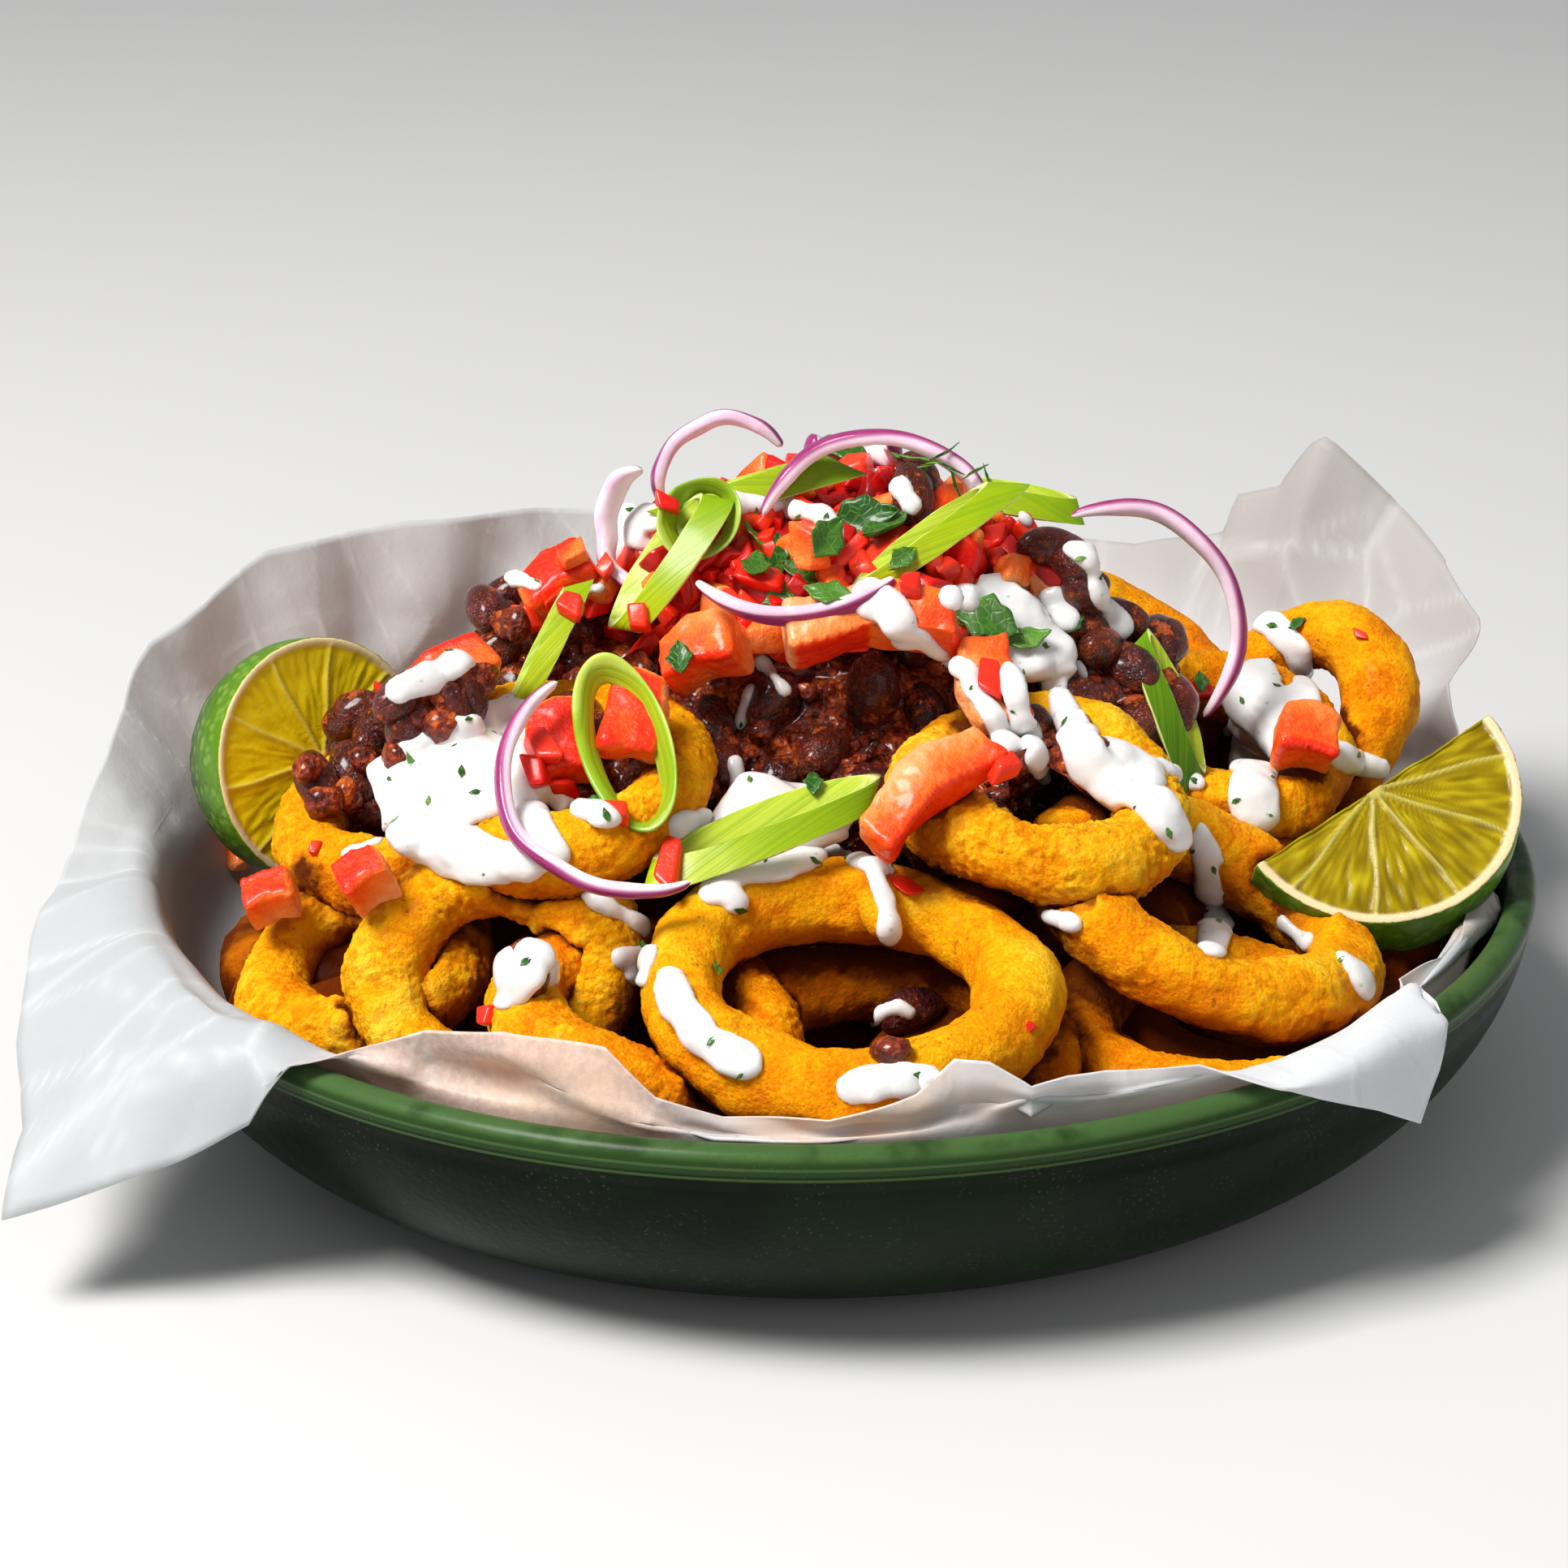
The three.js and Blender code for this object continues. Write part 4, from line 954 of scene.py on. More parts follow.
# %% Hoops
def hoop(radius, crust, oval, around=100, about=30):
    """Points and faces of a tube round an oval, in mm, lying flat."""
    u, v = np.meshgrid(round_turns(around), round_turns(about), indexing="ij")
    out = radius + crust * np.cos(v)
    points = grid_points(out * (1 + oval) * np.cos(u), out * (1 - oval) * np.sin(u),
                         1.12 * crust * np.sin(v))
    return points, grid_faces(around, about, rows_close=True)


# compass angle, distance from the middle, height, radius, lean
GAP_HOOPS = [
    (335, 82, 31, 20, 14), (15, 82, 33, 20, 14), (192, 82, 31, 20, 12), (36, 88, 38, 17, 20),
    (104, 89, 40, 16, 16), (137, 89, 42, 16, 16), (170, 80, 36, 15, 12), (74, 89, 39, 16, 12),
    (352, 90, 36, 15, 24), (60, 62, 56, 15, 24), (178, 64, 50, 15, 30), (96, 46, 60, 16, 12),
    (205, 89, 31, 15, 20), (290, 84, 26, 18, 10), (322, 86, 25, 17, 8),
]
GAP_CRUST = 6.6
hoops = []
draw = np.random.default_rng(11)
for angle, reach, height, radius, lean in GAP_HOOPS:
    points, faces = hoop(radius, GAP_CRUST, draw.uniform(-0.08, 0.08))
    side = math.radians(angle)
    at = (reach * math.cos(side), reach * math.sin(side), height)
    stand = place(at, angle + draw.uniform(-30, 30), lean, draw.uniform(0, 360))
    hoops.append((moved(points, stand), faces))
gap_rings = joined("rings_in_gaps", hoops)
# the last number gives the gap hoops more painted shade, as they lie under the rest
crust_relief(gap_rings, 0.8, 0.9, 301, -0.02, 0.36)
finish_piece(gap_rings, crust_material, "crust")

heap = fine_copy("heap_under_rings", "ring_heap", 1.1, 4)
# the last number gives the heap more painted shade, as it lies under the rest
crust_relief(heap, 0.8, 1.6, 331, -0.02, 0.2)
push(heap, -1.8)
finish_piece(heap, crust_material, "crust", "ring_heap")

# %% [markdown]
# ## Black bean chili
# Whole black beans in a thick, granular red-brown sauce with scraps of pepper. The sauce is the
# solid, roughened until it looks minced. Beans are balls stretched, bent into a kidney and
# pressed in at the eye. Well over a hundred lie part sunk in it, and five hundred small lumps of
# sauce cling between them. The beans shine and the sauce is wet but grainy.

# %% Sauce and beans
BEAN_HALF = np.array([6.4, 4.3, 3.9])
CHILI_SHOWS = (-0.25, 44)  # how far its places may face down, and their least height


def bean_shape(draw):
    points, faces = cube(8)
    x, y, z = squared(np.tan(points * math.pi / 4.3), 2).T.copy()
    plump = draw.uniform(0.92, 1.08)
    bend = draw.uniform(0.10, 0.24)
    y = y * plump - bend * (1 - x ** 2) + 0.12 * np.exp(-(x / 0.25) ** 2) * (y > 0) * y
    y -= 0.10 * np.exp(-((x / 0.3) ** 2 + ((y - 0.8) / 0.5) ** 2))
    points = np.stack([x, y, z], axis=-1)
    wrinkle = bumps(points * 3 + draw.uniform(0, 50, 3), 2.0, 7)
    return points * (1 + 0.035 * wrinkle[:, None]), faces


def lump_shape(draw, rough=0.28):
    points, faces = ball(2)
    swell = 1 + rough * bumps(points * 2 + draw.uniform(0, 50, 3), 1.3, 8)
    return points * swell[:, None] * draw.uniform(0.7, 1.15, 3), faces


draw = np.random.default_rng(21)
bean_shapes = [bean_shape(draw) for _ in range(10)]
lump_shapes = [lump_shape(draw) for _ in range(10)]
scrap_shapes = [lump_shape(draw, 0.75) for _ in range(12)]

sauce = fine_copy("chili_sauce", "chili", 0.9, 3)
sauce_points = points_of(sauce)
rough = (1.1 * bumps(sauce_points, 9, 61) + 1.1 * bumps(sauce_points, 4, 62)
         + 1.4 * (grains(sauce_points, 3.2, 63) - 0.4) + 0.9 * (grains(sauce_points, 1.9, 64) - 0.4))
push(sauce, rough - 0.8)

beans = scatter("black_beans", bean_shapes, spots_on(sauce, 190, 8.6, 31, *CHILI_SHOWS),
                lambda draw: BEAN_HALF * draw.uniform(0.9, 1.15), 32, sink=0.2, tumble=0.5)
crumbs = scatter("chili_crumbs", scrap_shapes, spots_on(sauce, 520, 3.6, 33, *CHILI_SHOWS),
                 lambda draw: 1.2 + 2.6 * draw.random() ** 2, 34, sink=-0.2, tumble=1.0)
bean_points = points_of(beans)
push(beans, 0.2 * bumps(bean_points, 2.4, 66) + 0.3 * bumps(bean_points, 5, 67))

# %% Chili finishes
wet_sauce = Finish("chili_sauce", Subsurface_Weight=0.08, Subsurface_Radius=(1, 0.2, 0.08),
                   Subsurface_Scale=0.0015, Coat_Roughness=0.15, IOR=1.4,
                   Specular_IOR_Level=0.3)
grit = wet_sauce.noise(2.2, detail=5, roughness=0.7)
shade = 0.6 * grit + 0.4 * wet_sauce.noise(9, detail=2)
brown = wet_sauce.ramp(shade, (0.36, (0.010, 0.002, 0.001)), (0.45, (0.085, 0.007, 0.0015)),
                       (0.53, (0.25, 0.026, 0.003)), (0.62, (0.60, 0.12, 0.010)))
scrap = wet_sauce.cells(4.6).between(0.24, 0.16) * wet_sauce.noise(14).between(0.5, 0.6)
brown = wet_sauce.blend(0.85 * scrap, brown, (0.62, 0.13, 0.012))
sauce_material = wet_sauce.surface(
    Base_Color=brown,
    Roughness=0.16 + 0.26 * wet_sauce.noise(3),
    Coat_Weight=0.25 + 0.4 * wet_sauce.noise(7),
    Normal=wet_sauce.bump(0.7 * grit + 0.5 * wet_sauce.cells(1.0), 1.3),
)
skin = Finish("bean_skin", Coat_Roughness=0.15, IOR=1.42, Specular_IOR_Level=0.35)
tone = skin.mark("tone")
mottle = skin.noise(3.4, detail=4, roughness=0.6)
film = skin.noise(4.6, detail=6, roughness=0.75).between(0.50, 0.60)
dark = skin.blend(tone, (0.014, 0.005, 0.009), (0.075, 0.012, 0.010))
dark = skin.layers(dark, (mottle.between(0.42, 0.64) * 0.8, (0.15, 0.017, 0.007)),
                   (0.85 * film, (0.40, 0.065, 0.008)))
bean_material = skin.surface(
    Base_Color=dark,
    Roughness=0.19 + 0.28 * film,
    Coat_Weight=0.42 - 0.15 * film,
    Normal=skin.bump(0.5 * mottle + 0.9 * film + 0.9 * skin.noise(0.9, detail=2), 1.0),
)
finish_piece(sauce, sauce_material, "chili", "chili")
finish_piece(crumbs, sauce_material, "chili")
finish_piece(beans, bean_material, "chili")

# %% [markdown]
# ## Diced salsa
# The crown of the heap is finely cut red pepper and tomato: angular dice, most from 3 to 8 mm,
# some with pale tomato flesh. A die is a cube whose grid of points is pulled in at the edges,
# then skewed, so no two show the same outline. They lie thickly on the solid mound, which is
# sunk under them and carries the same reds.

# %% Dice
SALSA_SHOWS = (-0.1, 70)  # how far its places may face down, and their least height


def die_shape(draw):
    """A cube with soft edges, its eight corners pulled about at random."""
    points, faces = cube(3)
    points = squared(flattened(points, 0.55), 9)
    pulled = points.copy()
    for corner in itertools.product((-1, 1), repeat=3):
        near = np.prod((1 + points * corner) / 2, axis=1)
        pulled += np.outer(near, draw.uniform(-0.42, 0.42, 3))
    skew = np.eye(3) + draw.uniform(-0.22, 0.22, (3, 3))
    return pulled @ skew * draw.uniform(0.6, 1.25, 3), faces


draw = np.random.default_rng(41)
die_shapes = [die_shape(draw) for _ in range(14)]
mound = fine_copy("salsa_mound", "salsa", 1.0, 4)
mound_points = points_of(mound)
push(mound, 1.2 * bumps(mound_points, 7, 71) + 1.1 * (grains(mound_points, 4.5, 72) - 0.4) - 2.2)
peppers = scatter("diced_pepper", die_shapes, spots_on(mound, 400, 3.7, 42, *SALSA_SHOWS),
                  lambda draw: np.array([1, 0.8, 0.62]) * (1.5 + 3.2 * draw.random() ** 1.6), 43,
                  sink=-0.5, tumble=0.8)
tomato_dice = scatter("diced_tomato", die_shapes, spots_on(mound, 70, 9.5, 44, *SALSA_SHOWS),
                      lambda draw: np.array([1, 0.85, 0.75]) * draw.uniform(3.2, 4.6), 45,
                      sink=-1.2, tumble=0.5)

# %% Pepper and tomato finishes
red = Finish("red_pepper", Subsurface_Weight=0.25, Subsurface_Radius=(1, 0.12, 0.05),
             Subsurface_Scale=0.003, Coat_Roughness=0.2, IOR=1.4, Specular_IOR_Level=0.35)
tone = red.mark("tone")
cloud = red.noise(3.5, detail=3)
scarlet = red.ramp(0.65 * tone + 0.35 * cloud, (0.15, (0.34, 0.004, 0.004)),
                   (0.45, (0.72, 0.008, 0.004)), (0.8, (0.92, 0.045, 0.010)))
pepper_material = red.surface(
    Base_Color=scarlet,
    Roughness=0.28 + 0.2 * red.noise(2.0),
    Coat_Weight=0.28 + 0.2 * red.noise(5),
    Normal=red.bump(red.noise(0.9, detail=3), 0.25, 0.6),
)
flesh = Finish("tomato_flesh", Subsurface_Weight=0.3, Subsurface_Radius=(1, 0.2, 0.1),
               Subsurface_Scale=0.004, Coat_Roughness=0.2, IOR=1.4, Specular_IOR_Level=0.25)
grain = flesh.noise(1.5, detail=4, roughness=0.6)
streak = flesh.noise(8, detail=3, distortion=0.8)
depth = flesh.mark("skin") + 0.7 * (streak - 0.5) + 0.45 * (grain - 0.5)
pulp = flesh.ramp(depth, (0.0, (0.95, 0.37, 0.15)), (0.24, (0.96, 0.24, 0.05)),
                  (0.48, (0.95, 0.15, 0.016)), (0.75, (0.92, 0.065, 0.005)),
                  (1.0, (0.80, 0.020, 0.003)))
flesh_material = flesh.surface(
    Base_Color=pulp,
    Roughness=0.26 + 0.2 * flesh.noise(3),
    Coat_Weight=0.22 + 0.2 * grain,
    Normal=flesh.bump(0.9 * grain + 0.6 * streak, 0.7, 0.9),
)
mark(tomato_dice, skin=0.5 + 0.6 * bumps(points_of(tomato_dice), 6, 46))
finish_piece(mound, pepper_material, "salsa", "salsa")
finish_piece(peppers, pepper_material, "salsa")
finish_piece(tomato_dice, flesh_material, "tomato")

# %% [markdown]
# ## Tomato pieces
# Eleven larger pieces of tomato and pepper lie about the dish. Each solid is rebuilt in fine
# faces, smoothed so that its cut edges are crisp but not sharp, and given the slight waves of
# soft flesh. One side of each is the outer skin: it bulges, and is a deeper red.

# %% Cut pieces
# name: where its skin faces (compass angle, elevation), and how much skin shows
TOMATO_SKINS = {
    "tomato_cube": (250, -10), "tomato_wedge": (332, -30), "tomato_strip_front": (320, -30),
    "tomato_strip_upper": (30, 20), "tomato_right": (255, 10), "tomato_left": (200, 40),
    "tomato_left_low": (190, 50), "tomato_wedge_left": (120, 70), "tomato_hollow": (270, 20),
    "tomato_loop": (240, 30), "tomato_chunk": (290, 60),
}
# pieces that have sunk a little into what they lie on, in mm
SETTLED = {
    "tomato_wedge": (0, -1, -3), "tomato_cube": (0, -0.5, -3), "onion_lower": (0, -1, -3),
    "slice_front": (0, -0.5, -3), "loop_front": (0, -1, -4.5), "loop_top": (0.5, -1, -3),
    "tomato_left": (0, -4, -3.5), "tomato_left_low": (0, -4, -3.5),
}
# how large a piece is drawn, against its solid
SHRUNK = {"tomato_cube": 0.88, "tomato_left": 0.76, "tomato_left_low": 0.76, "tomato_right": 0.92}
for seed, (name, (towards, rise)) in enumerate(TOMATO_SKINS.items()):
    piece = modified(copy_of("cut_" + name, name), *even_faces(0.42, 0.6, 14))
    points = points_of(piece)
    middle = (points.max(axis=0) + points.min(axis=0)) / 2
    points = middle + (points - middle) * SHRUNK.get(name, 1) + SETTLED.get(name, (0, 0, 0))
    middle = middle + SETTLED.get(name, (0, 0, 0))
    move_to(piece, points)
    side, up = math.radians(towards), math.radians(rise)
    out = np.array([math.cos(side) * math.cos(up), math.sin(side) * math.cos(up), math.sin(up)])
    facing_out = normals_of(piece) @ out
    bulge = 0.7 * np.clip(facing_out, 0, 1) ** 2
    waves = 0.9 * bumps(points, 11, 95 + seed) + 0.5 * bumps(points, 5, 81 + seed)
    push(piece, 0.45 + bulge + waves + 0.15 * bumps(points, 2, 82))
    across = (points - middle) @ out
    outside = smooth_step(across, across.min() * 0.9, across.max() * 0.9)
    mark(piece, skin=np.maximum(0.72 * outside, smooth_step(facing_out, 0.6, 0.85)))
    finish_piece(piece, flesh_material, "tomato", name)

# %% [markdown]
# ## Spring onion cut on the bias
# A green leaf of spring onion is a hollow tube. Cut very slantwise, a piece of it lies nearly
# flat: its outline is a long leaf shape with two pointed ends, its veins run almost along it,
# and its two walls part a little at the cuts and show the paler inside. So each slice is a
# squashed tube with both ends cut along one slanted plane. The solid gives its place and its
# length, width and slope.

# %% Slice shapes
SLANT = 2.6  # how far along the tube the cut runs for each mm across it
LEAF_WALL = 0.75
SQUASHED = 1.32  # a flattened tube is this much broader


def axes_of(node):
    """A solid's middle, its own long, middle and short directions, and its half sizes."""
    points = points_of(frame["nodes"][node])
    middle = (points.max(axis=0) + points.min(axis=0)) / 2
    _, _, ways = np.linalg.svd(points - points.mean(axis=0), full_matrices=False)
    if ways[2][2] < 0:
        ways[2] *= -1
    if ways[1][1] < 0:
        ways[1] *= -1
    if np.linalg.det(ways) < 0:
        ways[0] *= -1
    reach = (points - middle) @ ways.T
    centre = middle + (reach.max(axis=0) + reach.min(axis=0)) / 2 @ ways
    return centre, ways, (reach.max(axis=0) - reach.min(axis=0)) / 2


def slice_shape(half_long, half_wide, loft, bend, mirror, parted, along=90, around=64):
    """A squashed tube cut on the bias, with its long diagonal on X, as one closed skin. Its lower
    wall lies `parted` mm farther along the tube than the upper one, so that it shows beside it."""
    half = half_wide * SQUASHED
    length = max(2 * half_long - 2 * SLANT * half, 5.0)
    s, v = np.meshgrid(np.linspace(-1, 1, along), round_turns(around), indexing="ij")
    layers = []
    for wall in (0.0, LEAF_WALL):
        y = (half - wall) * np.cos(v)
        x = s * length / 2 + SLANT * y + mirror * parted * np.sin(v)
        layers.append(grid_points(x, mirror * y, (loft - wall) * np.sin(v)))
    outer = grid_faces(along, around)
    count = along * around
    rim = np.arange(around)
    after = (rim + 1) % around
    last = (along - 1) * around
    caps = np.concatenate([
        np.stack([rim, after, after + count, rim + count], axis=-1),
        np.stack([last + after, last + rim, last + rim + count, last + after + count], axis=-1)])
    points = np.concatenate(layers)
    inside = np.repeat([0.0, 1.0], count)
    cut = np.tile(np.abs(s).ravel() > 0.985, 2).astype(float)
    angle = math.atan2(mirror * half, SLANT * half + length / 2)
    turn = np.array([[math.cos(angle), math.sin(angle), 0],
                     [-math.sin(angle), math.cos(angle), 0], [0, 0, 1]])
    points = points @ turn.T
    points *= [half_long / np.abs(points[:, 0]).max(), half_wide / np.abs(points[:, 1]).max(), 1]
    vein = points[:, 1] + 0.16 * mirror * points[:, 0]
    points[:, 2] -= bend * (points[:, 0] / half_long) ** 2
    return points, np.concatenate([outer, outer[:, ::-1] + count, caps]), inside, cut, vein


# name: half thickness, bend along it, side of the slant, how far its walls are parted, how much
# it is turned to show its face, how dark its green is, and how much broader it is than its solid
SLICES = {
    "slice_top": (1.7, 2.0, 1, 1.0, 0.3, 0.32, 1.2),
    "slice_diagonal": (2.4, 1.5, 1, 2.6, 0.2, 0.26, 1.25),
    "slice_left": (2.8, 1.5, 1, 3.0, 0.3, 0.30, 1.35),
    "slice_left_low": (1.8, 1.0, 1, 1.0, 0.7, 0.24, 1.15),
    "slice_front": (3.0, 1.5, -1, 3.2, 0.2, 0.34, 1.25),
    "slice_right": (2.0, 1.5, 1, 2.6, 0.4, 0.75, 1.2),
    "slice_back": (1.6, 1.0, 1, 1.5, 0.4, 0.4, 1.3),
}
SHOWN = np.array([0, -0.93, 0.37])  # the side that most faces turn to, out over the front
green_pieces = []
for seed, (name, (loft, bend, mirror, parted, shown, dark, broad)) in enumerate(SLICES.items()):
    centre, ways, halves = axes_of(name)
    halves[1] *= broad
    centre = centre + SETTLED.get(name, (0, 0, 0))
    points, faces, inside, cut, vein = slice_shape(halves[0], halves[1], loft, bend, mirror, parted)
    face = (1 - shown) * ways[2] + shown * (SHOWN - SHOWN @ ways[0] * ways[0])
    ways[2] = face / np.linalg.norm(face)
    ways[1] = np.cross(ways[2], ways[0])
    points = points @ ways + centre
    piece = build("spring_onion_" + name, points, faces)
    push(piece, 0.25 * bumps(points, 7, 91 + seed))
    mark(piece, inside=inside, cut=cut, vein=vein * MM,
         dark=dark + 0.012 * (points - centre) @ ways[0])
    green_pieces.append((piece, name))
print("slices:", len(green_pieces))

# %% [markdown]
# Two more pieces were cut straight across, so they lie as open loops: low bands with a thin
# wall. A band is drawn from the loop's own ellipse, slightly wavy, taller on one side.

# %% Loop shapes
def band(half_long, half_wide, height, wall, seed, around=110, about=20):
    """A flat-sided band round an ellipse, as a closed tube with a tall thin section."""
    draw = np.random.default_rng(seed)
    u, v = np.meshgrid(round_turns(around), round_turns(about), indexing="ij")
    across, along = flattened(np.cos(v), 0.7), flattened(np.sin(v), 0.7)
    thick = wall * (1 + 0.35 * np.sin(u + draw.uniform(0, 6)))
    tall = height * (1 + 0.25 * np.sin(u + draw.uniform(0, 6)))
    lean = 0.35 * tall * along
    x = (half_long - wall / 2 + across * thick / 2 + lean) * np.cos(u)
    y = (half_wide - wall / 2 + across * thick / 2 + lean) * np.sin(u)
    wave = 0.5 * np.sin(2 * u + draw.uniform(0, 6)) + 0.3 * np.sin(5 * u)
    points = grid_points(x, y, tall / 2 * along + wave)
    return points, grid_faces(around, about, rows_close=True), across.ravel() < 0.1


# name: height, wall and how dark its green is
LOOPS = {"loop_front": (3.8, 1.5, 0.34), "loop_top": (3.6, 1.0, 0.55)}
for seed, (name, (height, wall, dark)) in enumerate(LOOPS.items()):
    centre, ways, halves = axes_of(name)
    points, faces, inside = band(halves[0], halves[1], height, wall, 95 + seed)
    vein = points[:, 2]
    points = points @ ways + centre + SETTLED[name]
    piece = build("spring_onion_" + name, points, faces)
    mark(piece, inside=0.4 * inside, cut=0.25 * (np.abs(vein) > 0.46 * height), vein=vein * MM,
         dark=dark + 0.02 * (points - centre) @ ways[0])
    green_pieces.append((piece, name))

# %% Spring onion finish
leaf = Finish("spring_onion", Subsurface_Weight=0.25, Subsurface_Radius=(0.5, 1.0, 0.15),
              Subsurface_Scale=0.002, Coat_Roughness=0.2, IOR=1.4, Specular_IOR_Level=0.35)
vein = leaf.mark("vein")
lines = leaf.node("TexNoise", {"noise_dimensions": "1D"}, {"W": vein, "Scale": 1050, "Detail": 3})
lines = lines.between(0.40, 0.66)
dark = leaf.mark("dark") + 0.35 * (leaf.noise(13) - 0.5)
green = leaf.ramp(dark, (0.0, (0.51, 0.59, 0.009)), (0.25, (0.34, 0.44, 0.002)),
                  (0.55, (0.16, 0.30, 0.002)), (0.9, (0.045, 0.15, 0.003)))
pale = leaf.blend(lines * 0.7, (0.46, 0.56, 0.04), (0.25, 0.40, 0.008))
green = leaf.layers(green, (0.42 * lines, (0.15, 0.30, 0.003)), (leaf.mark("inside"), pale),
                    (0.8 * leaf.mark("cut"), (0.72, 0.80, 0.32)))
leaf_material = leaf.surface(
    Base_Color=green,
    Roughness=0.28 + 0.15 * leaf.noise(4),
    Coat_Weight=0.10 + 0.1 * lines,
    Normal=leaf.bump(lines, 0.08, 0.5),
)
for piece, name in green_pieces:
    finish_piece(piece, leaf_material, "spring_onion", name)

# %% [markdown]
# ## Red onion
# Thin slices of red onion fall apart into arcs. Each arc is a strip of one layer, nearly white
# inside with a purple skin along its outer side, and clear enough that light glows through. The
# circle that the solid's points lie on gives its centre, radius and span. The strip thins
# towards both ends and wavers a little, as a limp slice does.

# %% Onion arcs
def circle_of(node):
    """The circle that a bent solid follows: centre, two directions in its plane, the normal,
    the radius, and the angles where it starts and ends."""
    points = points_of(frame["nodes"][node])
    middle = points.mean(axis=0)
    _, _, ways = np.linalg.svd(points - middle, full_matrices=False)
    flat = (points - middle) @ ways[:2].T
    sums = np.column_stack([2 * flat, np.ones(len(flat))])
    x, y, rest = np.linalg.lstsq(sums, (flat ** 2).sum(axis=1), rcond=None)[0]
    radius = math.sqrt(rest + x * x + y * y)
    angles = np.sort(np.arctan2(flat[:, 1] - y, flat[:, 0] - x))
    gaps = np.diff(np.append(angles, angles[0] + math.tau))
    widest = int(gaps.argmax())
    start = angles[(widest + 1) % len(angles)]
    span = math.tau - gaps[widest]
    return middle + x * ways[0] + y * ways[1], ways, radius, start, span


def onion_arc(name, node, wide, thick, seed, along=120, about=24):
    """A strip of onion along a solid's circle, with soft square corners and blunt ends."""
    centre, ways, radius, start, span = circle_of(node)
    centre = centre + SETTLED.get(node, (0, 0, 0))
    draw = np.random.default_rng(seed)
    s, v = np.meshgrid(np.linspace(0, 1, along), round_turns(about), indexing="ij")
    angle = start + span * s
    taper = np.clip(np.minimum(s, 1 - s) / 0.16, 0, 1) ** 0.5 * 0.75 + 0.25
    ends = np.clip(np.minimum(s, 1 - s) / 0.012, 0, 1) ** 0.5
    out = flattened(np.cos(v), 0.75) * thick / 2
    up = flattened(np.sin(v), 0.75) * wide / 2
    wobble = 0.35 * np.sin(5 * angle + draw.uniform(0, 6)) + 0.2 * np.sin(9 * angle)
    twist = 0.35 * np.sin(2.2 * angle + draw.uniform(0, 6))
    tall = taper * ends
    reach = radius + (out * np.cos(twist) - up * np.sin(twist)) * tall + 0.6 * wobble
    rise = (out * np.sin(twist) + up * np.cos(twist)) * tall + wobble
    points = (centre + reach[..., None] * (np.cos(angle)[..., None] * ways[0]
              + np.sin(angle)[..., None] * ways[1]) + rise[..., None] * ways[2]).reshape(-1, 3)
    piece = build(name, points, grid_faces(along, about))
    mark(piece, rind=smooth_step(np.cos(v) - 0.25 * np.sin(v), 0.25, 0.6).ravel(),
         across=(rise - wobble).ravel() / wide + 0.5)
    close_ends(piece, about).data.shade_smooth()
    return piece


onion = Finish("red_onion", Subsurface_Weight=0.4, Subsurface_Radius=(1.0, 0.7, 0.85),
               Subsurface_Scale=0.0015, Coat_Roughness=0.15, IOR=1.4, Specular_IOR_Level=0.4)
across = onion.mark("across")
cloud = onion.noise(6, detail=3)
white = onion.ramp(0.6 * across + 0.4 * cloud, (0.2, (0.80, 0.56, 0.70)),
                   (0.40, (0.90, 0.86, 0.87)), (0.62, (0.88, 0.80, 0.84)),
                   (0.80, (0.74, 0.50, 0.64)))
purple = onion.blend(cloud, (0.20, 0.004, 0.075), (0.40, 0.045, 0.22))
edge = onion.mark("rind")
onion_material = onion.surface(
    Base_Color=onion.blend(edge, white, purple),
    Roughness=0.22 + 0.15 * cloud,
    Coat_Weight=0.2 + 0.2 * cloud,
    Normal=onion.bump(onion.noise(1.6), 0.12, 0.5),
)
# name: width of the strip and how thick it is
ONIONS = {
    "onion_top": (3.6, 2.6), "onion_left": (4.6, 2.8), "onion_middle": (4.0, 2.8),
    "onion_lower": (4.4, 2.6), "onion_right": (4.2, 3.0), "onion_front": (3.2, 2.6),
    "onion_back": (4.5, 3.0),
}
for seed, (name, (wide, thick)) in enumerate(ONIONS.items()):
    arc = onion_arc("red_" + name, name, wide, thick, 101 + seed)
    finish_piece(arc, onion_material, "red_onion", name)

# %% [markdown]
# ## Limes
# Two limes are cut across, so each shows the wheel of segments, and one is halved again. The
# fruit is a ball, cut by the same planes as the solid and rebuilt in even faces. Each point then
# knows where it lies in the fruit: outside is rind, dimpled with oil glands; a thin ring inside
# it is pith; the rest is pulp, parted by pale membranes that run out from the core. The pulp
# sinks a little between them, in fine streaks that point at the core, like real juice sacs.

# %% Lime shapes
LIME_TALL = 1.08  # how much longer a lime is than wide
GLAND_SIZE = 2.0  # mm from one dimple of the rind to the next
LIME_SEED = 111


